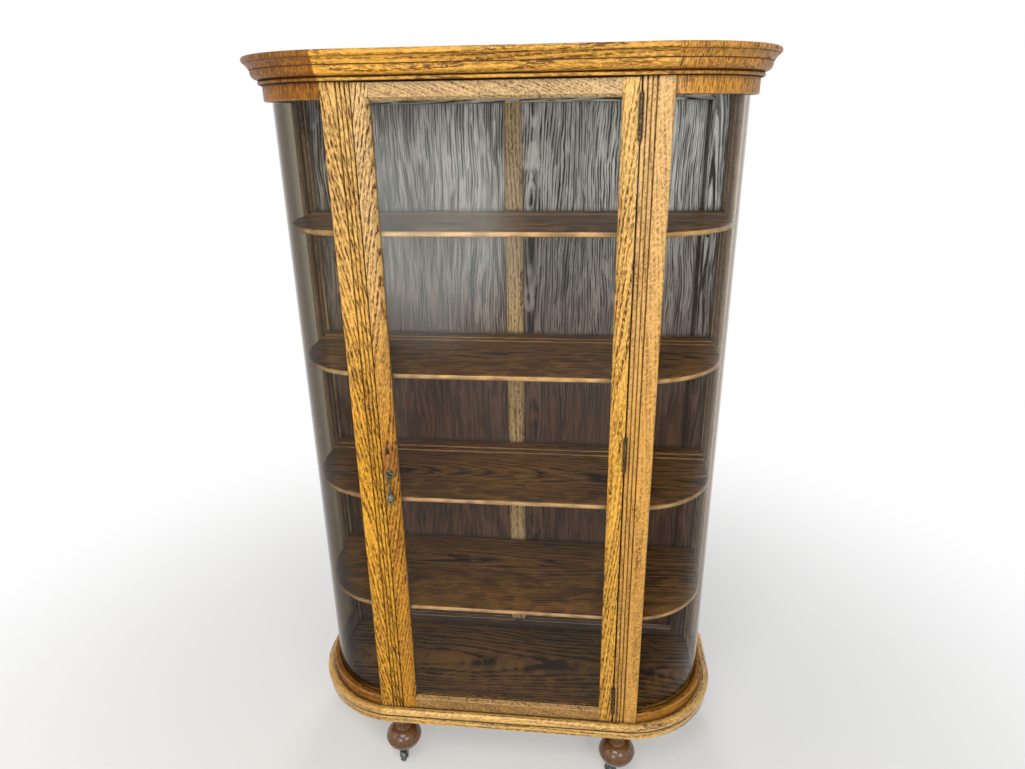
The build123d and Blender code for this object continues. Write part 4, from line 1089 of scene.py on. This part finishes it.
# %% The base
def mesh_piece(shape, name, smooth=True):
    """A piece made from a shape drawn face by face, with its faces outward."""
    bmesh.ops.recalc_face_normals(shape, faces=shape.faces)
    for face in shape.faces:
        face.smooth = smooth
    mesh = bpy.data.meshes.new(name)
    shape.to_mesh(mesh)
    shape.free()
    return in_scene(name, mesh)


def d_board(plan, low, high, name):
    """A solid board with a D-shaped plan."""
    half, front, radius = plan
    back = back_line + 1 * mm
    turns = [math.pi / 2 * i / bend_steps for i in range(bend_steps + 1)]
    centre_x, centre_y = half - radius, front + radius
    right = [(centre_x + radius * math.sin(t), centre_y - radius * math.cos(t)) for t in turns]
    left = [(-x, y) for x, y in reversed(right)]
    shape = bmesh.new()
    ring = [shape.verts.new((x, y, low)) for x, y in right + [(half, back), (-half, back)] + left]
    bottom = shape.faces.new(ring)
    raised = bmesh.ops.extrude_face_region(shape, geom=[bottom])["geom"]
    upper = [part for part in raised if isinstance(part, bmesh.types.BMVert)]
    bmesh.ops.translate(shape, vec=(0, 0, high - low), verts=upper)
    return mesh_piece(shape, name, smooth=False)


def cut_away(piece, cutter):
    """Cuts one shape out of another with a Boolean. The cutter is used up."""
    cut = piece.modifiers.new("cut", "BOOLEAN")
    cut.operation = "DIFFERENCE"
    cut.object = cutter
    cut.solver = "EXACT"
    made_plain(piece)
    bpy.data.objects.remove(cutter)


base_out_front, base_out_side = 12 * mm, 20 * mm
base_plan = (side_line + base_out_side, front_line - base_out_front, bend_radius + base_out_front)
base_section = (
    [(-70, -40), (-70, 0), (-9, 0)]
    + bulge((-9, -10.5), 9, 90, -60, 14)
    + [(-6.5, -20.3), (-3.5, -21.8), (-3.5, -38), (-5.5, -40)]
)
recess_low, recess_high = case_bottom - 12 * mm, case_bottom + 5 * mm
# The left stretch takes the darker copy of the base oak, which is painted shade.
for part, (span, cuts) in three_stretches(base_plan).items():
    node, wood = "base_" + part, shaded_base_oak if part == "left" else base_oak
    piece = bent_piece(node + "_oak", base_section, base_plan, case_bottom, span, cuts, wood)
    cut_away(piece, d_board(case_plan, recess_low, recess_high, "recess"))
    finish_bend(piece, base_plan, wood, node)
    print(node, len(piece.data.polygons), "faces")

# %% [markdown]
# ## Bent rails and bent glass
#
# Above and below each side pane runs a thin bent rail with a lip in front of the glass. The
# upper one, the frieze, is veneered with its grain upright. The panes are sheets bent over
# a mould, so they follow the same path.

# %% Rails and side panes
rail_section = [
    (0, 21), (0, 0), (-20, 0), (-20, 16), (-13.7, 16), (-13.7, 24), (-3, 24), (-1.5, 23.6), (-0.4, 22.5),
]
frieze_height = 27
frieze_section = [
    (0, 3), (-0.4, 1.5), (-1.5, 0.4), (-3, 0), (-13.7, 0), (-13.7, 8), (-20, 8),
    (-20, frieze_height), (0, frieze_height),
]
frieze_level = case_top - frieze_height * mm
pane_low, pane_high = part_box("side_glass_right")
pane_height = (pane_high.z - pane_low.z) / mm
pane_outside, pane_inside = -14, -17
pane_section = [
    (pane_outside, 0), (pane_inside, 0), (pane_inside, pane_height), (pane_outside, pane_height),
]
post_cut = cut_line(1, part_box("rear_post_right")[0].y, 1)
# The right-hand rails take the paler copy of the bent oak, which is painted light.
for side, sign, wood, glass in (
    ("left", -1, bent_oak, bent_glass_left), ("right", 1, sunned_oak, bent_glass_right),
):
    span, joint = three_stretches(case_plan)[side]
    for node, section, level, veneered in (
        ("bottom_rail_" + side, rail_section, case_bottom, False),
        ("frieze_" + side, frieze_section, frieze_level, True),
    ):
        piece = bent_piece(node + "_oak", section, case_plan, level, span, (*joint, post_cut), wood)
        finish_bend(piece, case_plan, wood, node, veneered)
    node = "side_glass_" + side
    pane_cuts = (cut_line(0, sign * pane_low.x, -sign), cut_line(1, pane_high.y, 1))
    pane = bent_piece(node + "_pane", pane_section, case_plan, pane_low.z, span, pane_cuts, glass)
    round_arrises(pane, 0.3 * mm)
    dress(pane, glass, node)
    print(node, len(pane.data.polygons), "faces")

# %% [markdown]
# ## The door's pane and the glazing beads
#
# The door's pane is flat, so a copy of the model's own is enough. The bent panes are held
# by slim beads, whose grain follows the bend too.

# %% Door pane and beads
door_pane = welded_copy("door_glass", "door_glass_pane")
round_arrises(door_pane, 0.3 * mm)
dress(door_pane, flat_glass, "door_glass")
beads = welded_copy("side_glass_beads", "side_glass_beads_oak")
finish_bend(beads, case_plan, shelf_oak, "side_glass_beads", arris=0.4 * mm)
print("side beads", len(beads.data.polygons), "faces")

# %% [markdown]
# ## Copies set out at points
#
# Four turned feet, eighteen hinge screws and the beads round the pull's plate are each one
# shape that repeats. One Geometry Nodes tree puts a copy of a template on every lone point
# of a mesh. Screws are driven by hand, so their slots stop at any angle: a random spin with
# a fixed seed gives each its own, and the feet are given none.

# %% The tree that sets out copies
spin_seed = 3
tree, src, out = geometry_tree(
    "set out copies",
    {"Template": "Object", "Spin": "Float", "Facing": "Float", "Seed": "Int", "Material": "Material"},
)
set_out = tree
points = add_node(tree, "GeometryNodeMeshToPoints", Mesh=src.outputs["Geometry"])
template = add_node(tree, "GeometryNodeObjectInfo", Object=src.outputs["Template"])
most = add_node(tree, "ShaderNodeCombineXYZ", X=src.outputs["Spin"], Z=src.outputs["Facing"])
least = add_node(tree, "ShaderNodeCombineXYZ", Z=src.outputs["Facing"])
spin = add_node(
    tree, "FunctionNodeRandomValue", {"data_type": "FLOAT_VECTOR"},
    _0=least.outputs[0], _1=most.outputs[0], Seed=src.outputs["Seed"],
)
turned_by = add_node(tree, "FunctionNodeEulerToRotation", Euler=spin.outputs[0])
copies = add_node(
    tree, "GeometryNodeInstanceOnPoints",
    Points=points.outputs[0], Instance=template.outputs["Geometry"], Rotation=turned_by.outputs[0],
)
end_tree(tree, copies.outputs[0], src.outputs["Material"], out)


def copies_at(places, template, name, material, spin=0.0, facing=0.0):
    """One mesh with the template at each place. The template is used up."""
    shape = bmesh.new()
    for place in places:
        shape.verts.new(place)
    piece = mesh_piece(shape, name)
    grow(
        piece, set_out, template=template, spin=spin, facing=facing, seed=spin_seed, material=material,
    )
    bpy.data.objects.remove(template)
    print(name, len(places), "copies,", len(piece.data.polygons), "faces")
    return piece


# %% [markdown]
# ## Turned pieces
#
# On a lathe the profile is all there is to a foot, a screw or a bead, so here too a profile
# is swung round an axis: each of its points becomes a ring, and a skin joins the rings. The
# same skin serves a piece whose rings aren't round.


# %% Rings and turnings
def loop_rings(rings, name):
    """A closed skin over a row of rings; a ring of one point closes an end."""
    shape = bmesh.new()
    rows = [[shape.verts.new([v * mm for v in point]) for point in ring] for ring in rings]
    for lower, upper in zip(rows, rows[1:]):
        steps = max(len(lower), len(upper))
        for i in range(steps):
            j = (i + 1) % steps
            corners = [row[k % len(row)] for row, k in ((lower, i), (lower, j), (upper, j), (upper, i))]
            face = list(dict.fromkeys(corners))
            if len(face) > 2:
                shape.faces.new(face)
    return mesh_piece(shape, name)


def turned_piece(profile, name, steps):
    """A turned piece, from its profile of radius and height in millimetres."""
    rings = []
    for radius, height in profile:
        turns = [math.tau * i / steps for i in range(steps if radius > 0 else 1)]
        rings.append([(radius * math.cos(t), radius * math.sin(t), height) for t in turns])
    return loop_rings(rings, name)


# %% [markdown]
# ## Ball feet
#
# Each foot is one turning: a flattened ball, a short coved neck and a round collar, with a
# tenon up into the base and a bore below for the caster's sleeve. The front feet stand
# closer together than the rear ones, right over their casters.

# %% Feet
foot_profile = (
    [(0, 36), (5.6, 36), (5.6, 0), (12, 0)]
    + arc_through((13, 0.2), (32.5, 10.6), (40.6, 28.7), 12)
    + arc_through((40.6, 28.7), (32.5, 46.7), (17, 55.9), 14)[1:]
    + arc_through((17, 55.9), (15.5, 66.4), (22, 77), 8)[1:]
    + arc_through((22, 77), (26, 83), (24, 89), 8)[1:]
    + [(24, 99), (10, 99), (10, 123), (0, 123)]
)
foot_radius, socket_radius = 40.6 * mm, 12 * mm
foot_low, foot_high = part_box("ball_feet")
socket_low, socket_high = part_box("caster_sockets")
fork_low, fork_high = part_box("caster_fork_front_left")
front_feet = (-(fork_low.x + fork_high.x) / 2, socket_low.y + socket_radius)
rear_feet = (foot_high.x - foot_radius, socket_high.y - socket_radius)
foot_places = [
    (side * reach, deep, foot_low.z) for side in (-1, 1) for reach, deep in (front_feet, rear_feet)
]
foot = turned_piece(foot_profile, "foot", 56)
feet = copies_at(foot_places, foot, "ball_feet_turned", foot_oak)
round_arrises(feet, 0.4 * mm)
lay_grain(feet, "up")
dress(feet, foot_oak, "ball_feet")

# %% [markdown]
# ## Hinge screws
#
# The hinge leaves are let into the stile and the pilaster, and three countersunk screws
# hold each one. They only show when the door stands open. A screw is a small turning with
# a slot sawn across its head.


# %% Screws
def lone_boxes(node):
    """The boxes of a model node's separate lumps."""
    shape = bmesh.new()
    shape.from_mesh(model[node].data)
    bmesh.ops.remove_doubles(shape, verts=shape.verts, dist=weld_distance)
    left = set(shape.verts)
    boxes = []
    while left:
        waiting = [left.pop()]
        lump = []
        while waiting:
            corner = waiting.pop()
            lump.append(corner.co.copy())
            for edge in corner.link_edges:
                other = edge.other_vert(corner)
                if other in left:
                    left.remove(other)
                    waiting.append(other)
        boxes.append([[pick(p[i] for p in lump) for i in range(3)] for pick in (min, max)])
    shape.free()
    return sorted(boxes)


def slotted_screw():
    """A countersunk screw along X, with its slotted head at the origin facing -X."""
    profile = [(0, 12), (1.2, 10.5), (1.4, 2.2), (2.5, 0.5), (2.5, 0.15), (2.3, 0), (0, 0)]
    screw = turned_piece(profile, "screw", 20)
    screw.data.transform(Matrix.Rotation(math.pi / 2, 4, "Y"))
    reach, half_width, depth = 3, 0.3, 0.6
    corners = [(y * reach, z * half_width) for y, z in ((-1, -1), (1, -1), (1, 1), (-1, 1))]
    slot = loop_rings([[(x, y, z) for y, z in corners] for x in (-1, depth)], "slot")
    with edited(slot.data) as shape:
        close_up(shape)
    cut_away(screw, slot)
    return screw


for node, end, facing in (("hinge_frame_screws", 0, 0.0), ("hinge_door_screws", 1, math.pi)):
    boxes = lone_boxes(node)
    heads = [(box[end][0], (box[0][1] + box[1][1]) / 2, (box[0][2] + box[1][2]) / 2) for box in boxes]
    screws = copies_at(heads, slotted_screw(), node + "_slotted", hinge_brass, spin=math.pi, facing=facing)
    dress(screws, hinge_brass, node)

# %% [markdown]
# ## Drop pull
#
# The pull is a cast drop: an eye on a pin, a slim arm with small collars and a leaf with a
# raised rib. It is skinned over a row of sections, each with its own width and thickness,
# and a Subdivision Surface gives it the soft look of a casting.

# %% The cast drop
drop_low, drop_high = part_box("pull_drop")
pull_x = (drop_low.x + drop_high.x) / 2
pull_y = (drop_low.y + drop_high.y) / 2
pull_z = (plate_low.z + plate_high.z) / 2
# A section is its height, half its width and half its thickness, in millimetres.
eye = [
    (2.6, 0.9, 0.9), (1.9, 1.45, 1.9), (0, 1.5, 2.55), (-1.9, 1.45, 1.9), (-3.4, 1.1, 1.2), (-6, 1.2, 1.0),
]
upper_collar = [(-7, 2.2, 1.6), (-8.6, 2.2, 1.6)]
arm = [(-10, 1.3, 1.1), (-20, 2.0, 1.4), (-30, 1.3, 1.1)]
lower_collar = [(-31.4, 2.5, 1.8), (-33.2, 2.5, 1.8), (-34.6, 1.6, 1.1)]
leaf = [
    (-37, 3.0, 1.3), (-41, 4.6, 1.7), (-45, 6.0, 2.1), (-49, 6.4, 2.3), (-53, 5.8, 2.1),
    (-57, 4.4, 1.7), (-61, 2.6, 1.3), (-63.5, 1.1, 0.9),
]
knob = [(-65, 1.5, 1.4), (-66.4, 1.5, 1.4), (-67.6, 0.7, 0.7)]
drop_top, drop_tip, ribbed_from, corners_round = 2.65, -68, 2.3, 16


def drop_section(height, half_width, half_thickness):
    """A section of the drop. Where it is wide it is thin at both edges, with a rib between."""
    points = []
    for i in range(corners_round):
        turn = math.tau * i / corners_round
        rib = 1.0 if half_width < ribbed_from else 0.45 + 0.55 * abs(math.sin(turn)) ** 3
        points.append((half_width * math.cos(turn), -half_thickness * math.sin(turn) * rib, height))
    return points


stations = eye + upper_collar + arm + lower_collar + leaf + knob
rings = [[(0, 0, drop_top)]] + [drop_section(*station) for station in stations] + [[(0, 0, drop_tip)]]
drop = loop_rings(rings, "pull_drop_cast")
drop.data.transform(Matrix.Translation((pull_x, pull_y, pull_z)))
smoother = drop.modifiers.new("cast", "SUBSURF")
smoother.levels = 1
smoother.render_levels = 1
made_plain(drop)
dress(drop, pull_bronze, "pull_drop")
print("drop", len(drop.data.polygons), "faces")

# %% [markdown]
# ## The plate's beads
#
# The drop hangs before an oval plate with a beaded rim. The plate itself is the model's,
# and its beads are set out along an ellipse by the same tree as the feet.

# %% The plate's beads
bead_count, bead_radius = 26, 0.75
rim_half_width, rim_half_height, rim_front = 6.2 * mm, 10.2 * mm, front_line - 2 * mm
rim_turns = [math.tau * i / bead_count for i in range(bead_count)]
rim = [
    (pull_x + rim_half_width * math.cos(t), rim_front, pull_z + rim_half_height * math.sin(t))
    for t in rim_turns
]
bead_profile = [(0, -bead_radius)] + bulge((0, 0), bead_radius, -60, 60, 4) + [(0, bead_radius)]
bead = turned_piece(bead_profile, "bead", 8)
plate_beads = copies_at(rim, bead, "pull_plate_beads", pull_bronze)
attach(plate_beads, model["pull_plate"]["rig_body"])

# %% [markdown]
# ## The other metal
#
# The hinges, the lock, the plates and the casters have the right shapes in the model, so
# they keep them and only get their metal.

# %% Other metal
casters = [node for node in model if node.startswith("caster")]
for metal, nodes in (
    (hinge_brass, ("hinge_frame_leaves", "hinge_pins", "hinge_door_leaves", "strike_plate")),
    (lock_brass, ("lock_case", "lock_bolt")),
    (pull_bronze, ("pull_plate",)),
    (keyhole_bronze, ("keyhole_escutcheon",)),
    (caster_iron, casters),
):
    for node in nodes:
        model[node].data.materials[0] = metal
    print(metal.name, "on", len(nodes), "model pieces")

# %% [markdown]
# ## Floor
#
# The cabinet stands on a plain pale floor. Close to it the floor is a matt surface that
# takes its shadow; further off it turns into the same plain white as the world, so that no
# horizon shows behind the cabinet or in its glass.


# %% Floor
white = 1.0


def sees_background(tree):
    """1 for the rays that should find the plain background: sight, mirrors and glass.
    Light that a matt surface gathers through a pane is left out."""
    path = tree.nodes.new("ShaderNodeLightPath")
    seen = maths(tree, "MAXIMUM", path.outputs["Is Camera Ray"], path.outputs["Is Glossy Ray"])
    seen = maths(tree, "MAXIMUM", seen, path.outputs["Is Transmission Ray"])
    return maths(tree, "MULTIPLY", seen, maths(tree, "LESS_THAN", path.outputs["Diffuse Depth"], 0.5))


floor_material, tree, shader = new_material("floor")
fill(tree, shader, Base_Color=(0.86, 0.855, 0.845, 1), Roughness=0.9, Specular_IOR_Level=0.1)
place = add_node(tree, "ShaderNodeTexCoord").outputs["Object"]
reach = add_node(tree, "ShaderNodeVectorMath", {"operation": "LENGTH"}, _0=place).outputs["Value"]
far_off = maths(tree, "MULTIPLY", ramp(tree, reach, 0.5, 1.9, 0.3, 1.0), sees_background(tree))
glow = add_node(tree, "ShaderNodeEmission", Color=(white, white, white, 1), Strength=1.0)
mixed = add_node(tree, "ShaderNodeMixShader", _0=far_off, _1=shader.outputs[0], _2=glow.outputs[0])
fill(tree, tree.nodes["Material Output"], Surface=mixed.outputs[0])
floor_half = 30.0
corners = [(x * floor_half, y * floor_half, 0) for x, y in ((-1, -1), (1, -1), (1, 1), (-1, 1))]
floor_mesh = bpy.data.meshes.new("floor")
floor_mesh.from_pydata(corners, [], [(0, 1, 2, 3)])
floor_mesh.materials.append(floor_material)
floor = in_scene("floor", floor_mesh)
print("floor", 2 * floor_half, "m square")

# %% [markdown]
# ## Light
#
# The light is the sky's even fill and five soft panels: one high in front, one behind the
# viewer's right shoulder for the sheen on the varnish, one behind the cabinet so that its
# back is not black, a weak warm one low on the left, and a cool one far in front. The last
# fades towards its edges, as a view out of a window does, so that the door's glass mirrors
# it as a soft sheen with no outline.

# %% World and lamps
world = bpy.data.worlds.new("studio")
bpy.context.scene.world = world
world.use_nodes = True
tree = world.node_tree
sky = 0.27
strength = maths(tree, "MULTIPLY_ADD", sees_background(tree), white - sky, sky)
fill(tree, tree.nodes["Background"], Color=(1, 1, 1, 1), Strength=strength)


def soft_panel(name, place, target, width, height, watts, colour=(1, 1, 1), faded_edges=False):
    """An oblong lamp that faces its target."""
    lamp = bpy.data.lights.new(name, "AREA")
    if faded_edges:
        lamp.use_nodes = True
        tree = lamp.node_tree
        spot = add_node(tree, "ShaderNodeNewGeometry").outputs["Parametric"]
        off_centre = add_node(
            tree, "ShaderNodeVectorMath", {"operation": "DISTANCE"}, _0=spot, _1=(0.5, 0.5, 0),
        )
        strength = ramp(tree, off_centre.outputs["Value"], 0.2, 0.5, 1.0, 0.0)
        fill(tree, tree.nodes["Emission"], Strength=strength)
    lamp.shape = "RECTANGLE"
    lamp.size = width
    lamp.size_y = height
    lamp.energy = watts
    lamp.color = colour
    panel = in_scene(name, lamp)
    panel.location = place
    panel.rotation_euler = (Vector(target) - Vector(place)).to_track_quat("-Z", "Y").to_euler()


warm, cool = (1.0, 0.78, 0.48), (0.92, 1.0, 0.97)
soft_panel("key", (-0.2, -1.5, 2.35), (0, 0, 1.1), 1.0, 0.7, 17)
soft_panel("window", (1.1, -1.9, 1.55), (0.1, 0, 1.2), 0.9, 0.9, 15)
soft_panel("rear", (0, 2.4, 2.4), (0, 0, 0.8), 0.8, 1.6, 24)
soft_panel("low side", (-1.3, -0.7, 0.9), (-0.3, 0, 0.5), 0.6, 1.0, 3.5, warm)
soft_panel("garden", (-0.55, -2.0, 0.95), (-0.1, 0, 0.9), 1.0, 1.3, 24, cool, faded_edges=True)
bpy.context.scene.view_settings.view_transform = "Standard"
print("lamps:", {lamp.name: round(lamp.energy, 1) for lamp in bpy.data.lights}, "watts")
